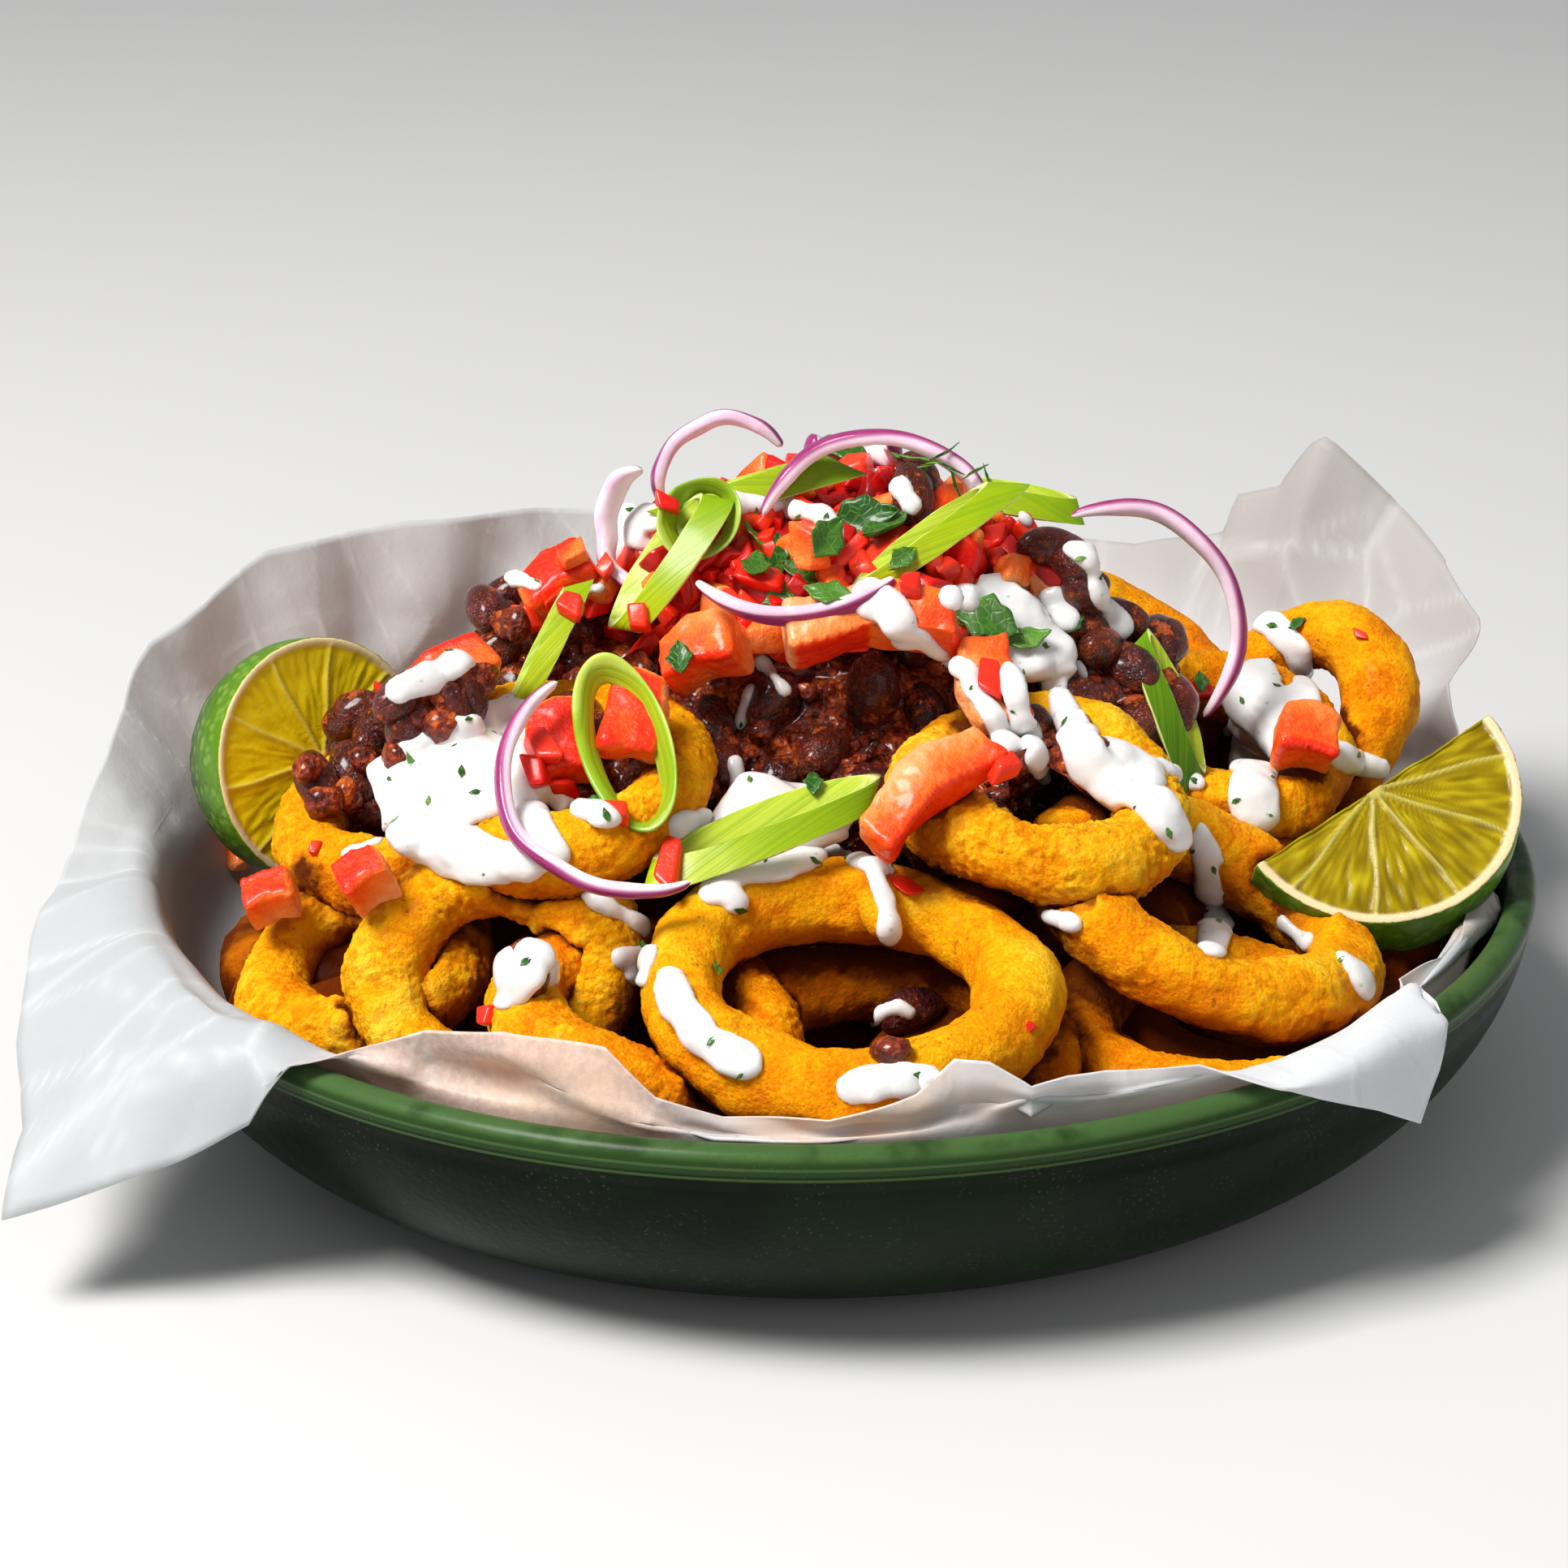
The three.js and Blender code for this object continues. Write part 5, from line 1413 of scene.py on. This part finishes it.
def lime_piece(name, radius, behind, halved, segments, start):
    """A cut lime in its own frame: its core on Z, its cut face at z = 0, seen from above."""
    fruit = bmesh.new()
    bmesh.ops.create_uvsphere(fruit, u_segments=128, v_segments=96, radius=radius * MM)
    bmesh.ops.transform(fruit, verts=fruit.verts,
                        matrix=Matrix.Translation((0, 0, -behind * MM))
                        @ Matrix.Diagonal((1, 1, LIME_TALL, 1)))
    for normal in ((0, 0, 1), (0, 1, 0))[:1 + halved]:
        everything = fruit.verts[:] + fruit.edges[:] + fruit.faces[:]
        cut = bmesh.ops.bisect_plane(fruit, geom=everything, plane_co=(0, 0, 0), plane_no=normal,
                                     clear_outer=True)
        edges = [item for item in cut["geom_cut"] if isinstance(item, bmesh.types.BMEdge)]
        bmesh.ops.holes_fill(fruit, edges=edges, sides=0)
    piece = set_mesh(in_scene(name, bpy.data.meshes.new(name)), fruit)
    modified(piece, *even_faces(0.42, 0.5, 3))
    points, normals = points_of(piece), normals_of(piece)
    x, y, z = points.T
    reach = np.sqrt(x ** 2 + y ** 2 + ((z + behind) / LIME_TALL) ** 2) / radius
    face_radius = math.sqrt(radius ** 2 - (behind / LIME_TALL) ** 2)
    spoke = np.arctan2(y, x)
    from_core = np.hypot(x, y)
    share = from_core / face_radius
    on_side = halved * smooth_step(normals[:, 1], 0.6, 0.9)
    cut = np.maximum(smooth_step(normals[:, 2], 0.6, 0.9), on_side)
    step = math.tau / segments
    gap = np.abs((spoke - start + 0.02 * np.sin(7 * share) + step / 2) % step - step / 2)
    membrane = np.exp(-(gap * from_core / 0.32) ** 2)
    pale = np.maximum(membrane, smooth_step(from_core, 2.4, 1.2))
    pith = smooth_step(reach, 0.918, 0.948) * cut
    wall = np.clip(pale * (1 - on_side) + pith, 0, 1)
    streaks = bumps(np.stack([spoke * 16, share * 5, z * 0.3], axis=-1), 1.0, LIME_SEED)
    sacs = cut * (1 - wall) * (-0.55 + 0.3 * streaks)
    gland = grains(points, GLAND_SIZE, LIME_SEED + 1)
    uneven = 0.25 * (1 - cut) * bumps(points, 9, LIME_SEED + 2)
    push(piece, sacs - (1 - cut) * 0.22 * gland + uneven)
    # light is painted light on the peel: lighter towards the cut face, darker behind it
    mark(piece, rind=(1 - cut) * smooth_step(reach, 0.93, 0.97), pith=pith,
         wall=np.clip(pale, 0, 1) * (1 - on_side) * cut, streak=0.5 + 0.5 * streaks,
         light=np.clip(0.5 + z / (2 * radius), 0, 1), gland=gland)
    return piece


# place, radius, how far the fruit's middle is behind the cut, halved or not, the angles of its
# place, segments, where the first starts, and how much painted glow, as of light through it, its
# pulp gets
LIMES = {
    "lime_right": ((93.7, -24, 59), 26, 6, True, 270, 42, 34, 10, 0.30, 0.0),
    "lime_left": ((-88, 0, 57.5), 22, 2, False, 312, 75, 0, 10, 0.10, 1.0),
}
lime = Finish("lime", Subsurface_Weight=0.3, Subsurface_Radius=(0.7, 1.0, 0.12), Coat_Weight=0.1,
              Subsurface_Scale=0.0035, Coat_Roughness=0.15, IOR=1.4, Specular_IOR_Level=0.2)
streak = lime.mark("streak")
cloud = lime.noise(9, detail=2)
pulp = lime.ramp(0.6 * streak + 0.4 * cloud, (0.25, (0.15, 0.095, 0.0006)),
                 (0.5, (0.28, 0.20, 0.001)), (0.75, (0.48, 0.39, 0.008)))
# painted glow, as of light coming through the pulp
pulp = lime.layers(pulp, (lime.mark("glow"), (0.76, 0.58, 0.005)),
                   (0.5 * lime.mark("wall"), (0.70, 0.64, 0.20)),
                   (lime.mark("pith"), (0.76, 0.60, 0.36)))
dots = lime.mark("gland").between(0.35, 0.75)
# painted light: the peel is lighter towards the cut face
peel = lime.blend(lime.mark("light").between(0.15, 0.5), (0.016, 0.045, 0.001),
                  (0.085, 0.20, 0.006))
peel = lime.blend(0.55 * dots, peel, (0.20, 0.32, 0.05))
rind = lime.mark("rind")
lime_material = lime.surface(
    Base_Color=lime.blend(rind, pulp, peel),
    Roughness=0.20 + 0.18 * lime.noise(3) + 0.06 * rind,
    Normal=lime.bump(lime.noise(0.8, detail=3), 0.2, 0.5),
)
for name, (at, radius, behind, halved, *angles, segments, start, glow) in LIMES.items():
    piece = lime_piece(name + "_cut", radius, behind, halved, segments, start)
    mark(piece, glow=glow)
    move_to(piece, moved(points_of(piece), place(at, *angles)))
    finish_piece(piece, lime_material, "lime", name)

# %% [markdown]
# ## Chopped pieces that lie where they fell
# Chips of pepper and tomato, torn parsley and threads of dill lie singly on the heap. Each is
# named by the point of the view where it shows. `seen` follows the sight line through that point
# to the first surface it meets, so that every piece rests on something from any side.

# %% What the camera sees
def surface_trees(*without):
    """A tree for rays of every piece made so far, but for the kinds that are named."""
    view = bpy.context.evaluated_depsgraph_get()
    view.update()
    pieces = [item for item in bpy.data.objects if item.type == "MESH"
              and item.name not in frame["nodes"] and not item.name.startswith(without)]
    return {piece.name: BVHTree.FromObject(piece, view) for piece in pieces}


def seen(trees, across, down):
    """The nearest surface under a point of the view, in mm: its place and normal, or None."""
    start, way = sight_line(across, down)
    nearest = None
    for tree in trees.values():
        spot, normal, _, far = tree.ray_cast(start, way)
        if spot is not None and (nearest is None or far < nearest[2]):
            nearest = (spot / MM, normal if normal.dot(way) < 0 else -normal, far)
    return nearest


# across, down, half sizes in mm
PEPPER_CHIPS = [
    (655, 757, 3.0, 2.4, 1.8), (682, 735, 3.2, 2.2, 1.8), (704, 752, 2.6, 2.6, 1.6),
    (733, 742, 2.4, 2.2, 1.6), (748, 700, 2.2, 1.8, 1.5),
    (768, 782, 3.4, 2.0, 1.6), (800, 798, 4.4, 2.4, 1.8), (822, 772, 3.6, 2.0, 1.6),
    (790, 762, 2.8, 2.0, 1.5), (1188, 714, 3.2, 2.2, 1.8), (1168, 702, 2.4, 2.0, 1.6),
    (1252, 702, 2.4, 2.2, 1.8), (1262, 655, 3.0, 2.2, 1.8), (1266, 684, 2.4, 2.0, 1.6),
    (1120, 722, 2.2, 2.0, 1.6), (828, 1066, 6.0, 2.2, 1.6), (760, 1002, 3.0, 2.0, 1.8),
    (1676, 783, 1.8, 0.9, 0.7), (1262, 797, 2.4, 2.4, 2.0), (1234, 942, 2.8, 2.4, 2.0),
    (1220, 838, 4.6, 2.4, 1.4), (1246, 852, 3.0, 2.0, 1.4), (672, 925, 4.2, 3.0, 2.2),
    (690, 968, 3.6, 2.6, 2.0), (660, 950, 3.0, 2.4, 1.8), (468, 858, 2.6, 1.6, 1.4),
    (555, 960, 2.2, 2.8, 1.0), (1475, 850, 2.0, 3.0, 1.6), (390, 1045, 1.6, 1.0, 0.8),
    (604, 1252, 2.2, 1.6, 1.4), (940, 640, 2.4, 1.8, 1.6), (820, 618, 2.0, 2.6, 1.2),
    (1112, 1090, 2.6, 3.4, 0.3), (1268, 1264, 1.2, 0.9, 0.3),
]
TOMATO_CHIPS = [
    (284, 1052, 4.2, 3.2, 2.6), (1160, 622, 4.2, 3.2, 2.6), (1000, 670, 4.2, 3.6, 2.6),
    (1240, 705, 3.6, 3.4, 2.4), (710, 690, 3.2, 2.8, 2.2), (742, 722, 4.0, 2.6, 2.0),
]


def lay(name, places, upright, seed, shape_for):
    """Joins one shape for each place of the view, on what shows there, its +Z turned `upright`
    of the way from the surface's normal to straight up. `shape_for` draws a shape's points and
    faces, its spin, how far its middle is off the surface, and its tone."""
    draw = np.random.default_rng(seed)
    trees = surface_trees()
    copies, tones = [], []
    for across, down, *measures in places:
        hit = seen(trees, across, down)
        if hit is None:
            continue
        spot, normal, _ = hit
        points, faces, spin, off, tone = shape_for(draw, *measures)
        turn = np.array(facing(normal.lerp(Vector((0, 0, 1)), upright), spin))
        copies.append((points @ turn.T + (np.array(spot) + np.array(normal) * off), faces))
        tones.append(tone)
    return joined(name, copies, tones)


def chips(name, places, shapes, seed):
    """One of some shapes for each place, of three half sizes, pressed into what it lies on."""
    def shape_for(draw, *halves):
        points, faces = shapes[draw.integers(len(shapes))]
        spin = draw.random() * math.tau
        return (points / np.abs(points).max(axis=0) * halves, faces, spin, halves[2] * 0.55,
                draw.uniform(0.4, 1.0))
    return lay(name, places, 0.3, seed, shape_for)


pepper_chips = chips("pepper_chips", PEPPER_CHIPS, die_shapes, 121)
finish_piece(pepper_chips, pepper_material, "salsa")
tomato_chips = chips("tomato_chips", TOMATO_CHIPS, die_shapes, 122)
mark(tomato_chips, skin=0.5 + 0.6 * bumps(points_of(tomato_chips), 6, 123))
finish_piece(tomato_chips, flesh_material, "tomato")

# %% [markdown]
# Some beans rolled off the chili, with a little of its sauce. They are placed by the view in the
# same way, each lying on its side on a ring or in a hollow between two.

# %% Loose beans
LOOSE_BEANS = [(x, y, *BEAN_HALF * 0.98) for x, y in [
    (392, 968), (432, 955), (410, 925), (462, 925), (478, 888), (512, 900), (505, 868),
    (448, 985), (540, 872), (560, 850), (632, 738), (618, 800), (655, 792), (606, 760),
    (1124, 1262), (650, 1205), (905, 948), (1110, 612), (1122, 600), (1290, 690), (1312, 700),
    (1325, 722), (1338, 745), (1300, 762), (1322, 782), (1340, 800), (1296, 832), (1330, 850)]]
LOOSE_SAUCE = [(x, y, 3.4, 2.8, 2.2) for x, y in [
    (400, 985), (420, 978), (446, 940), (470, 958), (492, 930), (520, 880), (380, 950),
    (430, 990), (545, 890), (590, 830), (600, 845), (640, 765), (625, 775), (1100, 1302)]]
loose_beans = chips("loose_beans", LOOSE_BEANS, bean_shapes, 124)
finish_piece(loose_beans, bean_material, "chili")
loose_sauce = chips("loose_sauce", LOOSE_SAUCE, lump_shapes, 125)
finish_piece(loose_sauce, sauce_material, "chili")

# %% [markdown]
# ## Parsley and dill
# Torn parsley is flat, dark and crinkled, with an uneven edge and a fold along its middle vein.
# One leaf is a grid of points inside an outline with a few shallow teeth, doubled to give it a
# thickness. Dill is fine threads: leaves so narrow that only a curve is left.

# %% Leaf shapes
def leaf_shape(draw, slim, teeth=3, along=33, across=9):
    """A thin toothed leaf about 2 long, as one closed skin."""
    s, t = np.meshgrid(np.linspace(-1, 1, along), np.linspace(-1, 1, across), indexing="ij")
    saw = np.abs((teeth * s / 2 + draw.random()) % 1 - 0.5) * 2
    wide = 0.52 * slim * (1 - np.abs(s) ** 1.35) ** 0.8 * (0.86 + 0.28 * saw) * (1 - 0.25 * s)
    fold, curl = draw.uniform(0.05, 0.35), draw.uniform(-0.25, 0.25)
    y = t * wide
    z = fold * np.abs(y) + curl * s ** 2 + 0.04 * np.sin(5 * s + 3 * t)
    x = s + 0.14 * np.abs(t) * slim
    up = grid_faces(along, across, columns_close=False)
    count = along * across
    index = np.arange(count).reshape(along, across)
    ring = np.concatenate([index[:, 0], index[-1, 1:], index[-2::-1, -1], index[0, -2:0:-1]])
    after = np.roll(ring, -1)
    side = np.stack([ring, ring + count, after + count, after], axis=-1)
    points = np.concatenate([grid_points(x, y, z + 0.03), grid_points(x, y, z - 0.03)])
    return points, np.concatenate([up, up[:, ::-1] + count, side])


# across, down, half length in mm, spin of the leaf in degrees
PARSLEY = [
    (1060, 640, 6.4, 20), (1092, 662, 5.6, 150), (1010, 668, 5.0, 30), (962, 690, 4.4, 100),
    (1000, 712, 5.2, 140), (1025, 735, 4.2, 170), (930, 705, 4.0, 60), (960, 735, 3.4, 20),
    (1200, 752, 4.6, 160), (1232, 778, 5.4, 150), (1262, 786, 3.4, 10), (1040, 556, 5.2, 150),
    (1002, 968, 2.4, 90), (735, 992, 2.2, 30), (1478, 842, 2.2, 80), (840, 815, 3.4, 110),
    (925, 668, 3.4, 60), (1322, 770, 2.0, 40), (880, 1195, 1.4, 40), (1110, 690, 3.0, 40),
    (650, 1215, 1.4, 20), (500, 935, 1.6, 20), (1600, 770, 2.0, 50), (1600, 790, 1.8, 140),
]
DILL = [(x, y, 3.2, spin) for x, y, spin in [
    (1110, 566, 10), (1130, 570, 170), (1150, 566, 20), (1172, 572, 160), (1190, 566, 8),
    (1208, 572, 150), (1225, 568, 12), (1238, 576, 165), (1162, 560, 30), (1200, 582, 20),
    (1216, 590, 100), (1140, 580, 60), (1180, 588, 120)]]


def leaves(name, places, slim, seed):
    """One leaf for each place, lying on what is under it."""
    def shape_for(draw, half, spin):
        points, faces = leaf_shape(draw, slim)
        return points * half, faces, math.radians(spin), 0.5 + 0.12 * half, draw.random()
    return lay(name, places, 0.35, seed, shape_for)


herb = Finish("parsley", Subsurface_Weight=0.15, Subsurface_Radius=(0.3, 1.0, 0.15),
              Subsurface_Scale=0.001, IOR=1.42)
vein = herb.cells(1.7, feature="DISTANCE_TO_EDGE").between(0.12, 0.02)
green = herb.blend(herb.mark("tone") ** 3, (0.008, 0.070, 0.003), (0.11, 0.27, 0.020))
herb_material = herb.surface(
    Base_Color=herb.blend(0.2 * vein, green, (0.16, 0.36, 0.05)),
    Roughness=0.34 + 0.15 * herb.noise(2),
    Coat_Weight=0.15 + 0.1 * herb.noise(3),
    Normal=herb.bump(1 - vein, 0.10, 0.6),
)
finish_piece(leaves("parsley", PARSLEY, 1.25, 131), herb_material, "herb", "herb_leaf")
finish_piece(leaves("dill", DILL, 0.16, 132), herb_material, "herb")

# %% [markdown]
# ## Cream
# Thinned sour cream, spooned on and run down in drips, covers whatever it met. Each run is a
# line over the view with a width. Flattened balls along it are laid on the surfaces that the
# sight lines meet. Together with the solid spoonfuls they are melted into one skin by a voxel
# remesh, drawn in wherever they stand off the food, as a liquid settles, and smoothed until they
# flow together with round, thick edges. Two sprigs of parsley and a few flecks of herb lie on it.

# %% Cream runs
# half width in mm, then the points that a run passes, across and down
CREAM_RUNS = [
    (4.4, (505, 935), (560, 908), (618, 892)), (3.4, (618, 892), (640, 872)),
    (4.6, (503, 965), (512, 1008), (556, 1046), (618, 1064)), (3.6, (600, 1060), (650, 1062)),
    (3.6, (640, 905), (640, 955), (655, 1010), (684, 1052)), (4.6, (530, 945), (605, 928)),
    (3.0, (524, 990), (545, 1012)), (1.4, (640, 880), (643, 846)), (3.4, (620, 960), (640, 1000)),
    (3.0, (492, 850), (535, 832), (583, 806)), (1.7, (632, 712), (662, 722)),
    (1.8, (905, 942), (910, 975), (920, 1004)), (3.2, (870, 1022), (915, 1025), (960, 1042)),
    (3.6, (880, 1100), (905, 1075), (960, 1072), (1000, 1056)), (2.4, (905, 1110), (890, 1095)),
    (2.5, (1060, 1062), (1088, 1072)), (1.9, (1078, 1078), (1090, 1108), (1096, 1150)),
    (3.1, (825, 1205), (836, 1240), (872, 1284), (922, 1308)),
    (3.6, (660, 1178), (648, 1200), (626, 1232)), (2.4, (764, 1180), (802, 1182)),
    (1.6, (776, 1200), (796, 1208)), (1.3, (1078, 1266), (1086, 1246), (1106, 1240), (1120, 1248)),
    (2.8, (1050, 1342), (1100, 1330), (1150, 1334)),
    (3.0, (1172, 736), (1220, 744), (1262, 750), (1300, 738)), (3.6, (1300, 742), (1314, 762)),
    (2.5, (1278, 752), (1284, 800), (1300, 842), (1318, 890), (1330, 932)),
    (3.7, (1326, 900), (1342, 942), (1382, 970), (1428, 996), (1448, 1030)),
    (2.6, (1478, 1036), (1490, 1090), (1500, 1138)), (3.0, (1498, 1140), (1492, 1172)),
    (1.8, (1582, 1138), (1612, 1162)), (2.8, (1522, 762), (1570, 770), (1600, 798)),
    (2.8, (1600, 798), (1606, 850), (1612, 902)), (4.2, (1545, 912), (1543, 960), (1548, 1000)),
    (2.0, (1318, 676), (1342, 692), (1356, 740), (1382, 772)), (2.6, (1642, 930), (1700, 948)),
    (1.6, (1290, 1128), (1324, 1138)), (2.8, (1656, 1182), (1680, 1214)),
    (3.2, (762, 676), (780, 640), (815, 640)), (2.8, (778, 655), (800, 668)),
    (2.6, (900, 622), (948, 618)), (2.4, (975, 628), (1012, 634), (1030, 660)),
    (2.4, (1108, 600), (1122, 622)), (1.6, (1256, 632), (1266, 640)),
    (3.4, (1072, 738), (1100, 752), (1116, 786)), (2.4, (1198, 850), (1222, 880), (1240, 918)),
    (2.2, (1244, 826), (1258, 880), (1274, 926)), (3.0, (1272, 926), (1284, 952)),
    (1.5, (926, 852), (914, 890)), (1.3, (938, 814), (966, 850)), (1.8, (1150, 800), (1196, 830)),
    (1.9, (1428, 944), (1476, 966)), (1.7, (726, 1104), (792, 1142)),
    (3.0, (836, 1020), (868, 1004)), (2.4, (690, 990), (752, 1006)), (1.3, (428, 1052), (466, 1036)),
    (1.4, (1536, 866), (1514, 902)), (2.0, (1040, 1052), (1010, 1040)), (1.2, (716, 724), (740, 726)),
    (1.1, (1330, 820), (1336, 834)), (1.6, (1352, 680), (1330, 672)), (0.9, (802, 862), (804, 864)),
    (1.3, (1480, 1020), (1500, 1060)), (2.4, (1150, 800), (1130, 780)),
]
CREAM_NODES = ["cream_left", "cream_upper_left", "cream_middle", "cream_breaded", "cream_right",
               "cream_top", "cream_hollow"]
UNDER_NO_CREAM = ("spring_onion", "red_", "parsley", "dill", "cut_tomato_wedge_left",
                  "cut_tomato_left", "cut_tomato_right")
VIEW_STEP = 0.137  # mm on the dish from one point of the view to the next
FARTHEST_BACK = 60  # sight lines that meet the dish behind this, in mm, pass over the heap


def cream_drops():
    """Flattened balls along every run."""
    shape, faces = ball(2)
    trees = surface_trees(*UNDER_NO_CREAM)
    draw = np.random.default_rng(141)
    drops = []
    for half, *route in CREAM_RUNS:
        flat = float(np.interp(half, (1.0, 2.4, 4.0), (0.6, 0.42, 0.3)))
        wave = draw.uniform(0, 6)
        for start, end in zip(route[:-1], route[1:]):
            steps = max(int(math.dist(start, end) / (0.25 * half / VIEW_STEP)), 1)
            for k in range(steps + 1):
                across = start[0] + (end[0] - start[0]) * k / steps
                down = start[1] + (end[1] - start[1]) * k / steps
                hit = seen(trees, across, down)
                if hit is None or hit[0][1] > FARTHEST_BACK:
                    continue
                spot, normal, _ = hit
                size = half * (0.92 + 0.14 * math.sin(wave + 0.4 * k)) * draw.uniform(0.95, 1.05)
                turn = np.array(facing(normal, 0))
                middle = np.array(spot) + np.array(normal) * 0.1 * size
                drops.append((shape * size * (1, 1, flat) @ turn.T + middle, faces))
    return joined("cream_drops", drops)


def settle(piece, under, film=1.6, share=0.5, most=3.0):
    """Draws in whatever stands more than a film's thickness off the food, as a liquid settles."""
    points = points_of(piece)
    for i, point in enumerate(points):
        spot, normal, _, gap = under.find_nearest(Vector(point) * MM)
        away = point - np.array(spot) / MM
        gap = gap / MM
        if gap > film and away @ np.array(normal) > 0:
            points[i] -= away / gap * min((gap - film) * (1 - share), most)
    move_to(piece, points)


drops = cream_drops()
cream = copy_of("cream", *CREAM_NODES)
set_mesh(cream, bmesh_of(cream.data, drops.data))
bpy.data.objects.remove(drops)
modified(cream, *even_faces(0.5, 0.6, 12))
FOOD = ("fried", "chili", "black", "salsa", "diced", "cut_", "rings", "loose")
settle(cream, tree_of(*(item.data for item in bpy.data.objects
                        if item.type == "MESH" and item.name.startswith(FOOD))))
modified(cream, ("SMOOTH", {"factor": 0.6, "iterations": 12}))
cream_points = points_of(cream)
push(cream, 0.5 + 0.5 * bumps(cream_points, 6, 142) + 0.12 * bumps(cream_points, 2.5, 143))
modified(cream, ("SMOOTH", {"factor": 0.5, "iterations": 2}))
print("cream:", len(cream.data.polygons), "faces")

# %% Cream finish and herb flecks
dairy = Finish("cream", Subsurface_Weight=0.4, Subsurface_Radius=(1.0, 0.9, 0.75),
               Subsurface_Scale=0.003, Coat_Roughness=0.1, IOR=1.38)
cloud = dairy.noise(5, detail=3)
tint = dairy.cells(2.6).between(0.16, 0.10) * dairy.noise(7).between(0.5, 0.56)
white = dairy.blend(cloud, (0.73, 0.725, 0.72), (0.81, 0.81, 0.80))
cream_material = dairy.surface(
    Base_Color=dairy.blend(0.55 * tint, white, (0.25, 0.45, 0.32)),
    Roughness=0.24 + 0.12 * cloud,
    Coat_Weight=0.25 + 0.15 * cloud,
    Normal=dairy.bump(dairy.noise(2.4, detail=3), 0.25, 0.6),
)
finish_piece(cream, cream_material, "cream", *CREAM_NODES)
on_cream = leaves("parsley_on_cream", [(1218, 764, 6.4, 155), (1262, 792, 4.2, 20)], 1.2, 133)
finish_piece(on_cream, herb_material, "herb")
draw = np.random.default_rng(151)
fleck_shapes = [leaf_shape(draw, 0.9, along=8, across=4) for _ in range(6)]
flecks = scatter("herb_flecks", fleck_shapes, spots_on(cream, 120, 3.4, 152, -0.2, 0),
                 lambda draw: draw.uniform(0.5, 1.35), 153, sink=0.0, tumble=0.2)
finish_piece(flecks, herb_material, "herb")

# %% [markdown]
# ## Light and floor
# A pale floor, a large soft window above and to the left, a weak fill from the right and a pale
# sky all round. The warm shadows between the rings come partly from light that bounces inside the
# crusts and partly from shade painted into the crust's colour.

# %% Floor and lights
FLOOR_HALF = 2500  # mm
corners = [(-1, -1), (1, -1), (1, 1), (-1, 1)]
floor = build("floor", [(FLOOR_HALF * x, FLOOR_HALF * y, 0) for x, y in corners], [(0, 1, 2, 3)])
ground = Finish("pale_floor")
floor.data.materials.append(ground.surface(
    Base_Color=ground.blend(ground.noise(400), (0.60, 0.60, 0.60), (0.64, 0.64, 0.64)),
    Roughness=0.7 + 0.1 * ground.noise(60)))


def window(name, at, size, power, tint):
    """A square area light aimed at the middle of the dish. `at` and `size` are in mm."""
    light = bpy.data.lights.new(name, "AREA")
    light.size, light.energy, light.color = size * MM, power, tint
    lamp = in_scene(name, light)
    lamp.location = Vector(at) * MM
    lamp.rotation_euler = (TARGET - lamp.location).to_track_quat("-Z", "Y").to_euler()


window("window_light", (-860, -560, 1560), 700, 54.0, (1.0, 0.985, 0.96))
window("front_fill", (840, -1600, 840), 1300, 3.4, (1.0, 0.98, 0.95))
sky = bpy.data.worlds.new("pale_sky")
sky.use_nodes = True
background = sky.node_tree.nodes["Background"].inputs
background["Color"].default_value = (0.95, 0.97, 1.0, 1)
background["Strength"].default_value = 0.28
bpy.context.scene.world = sky
bpy.context.scene.view_settings.view_transform = "Standard"

# %% Import json
import json
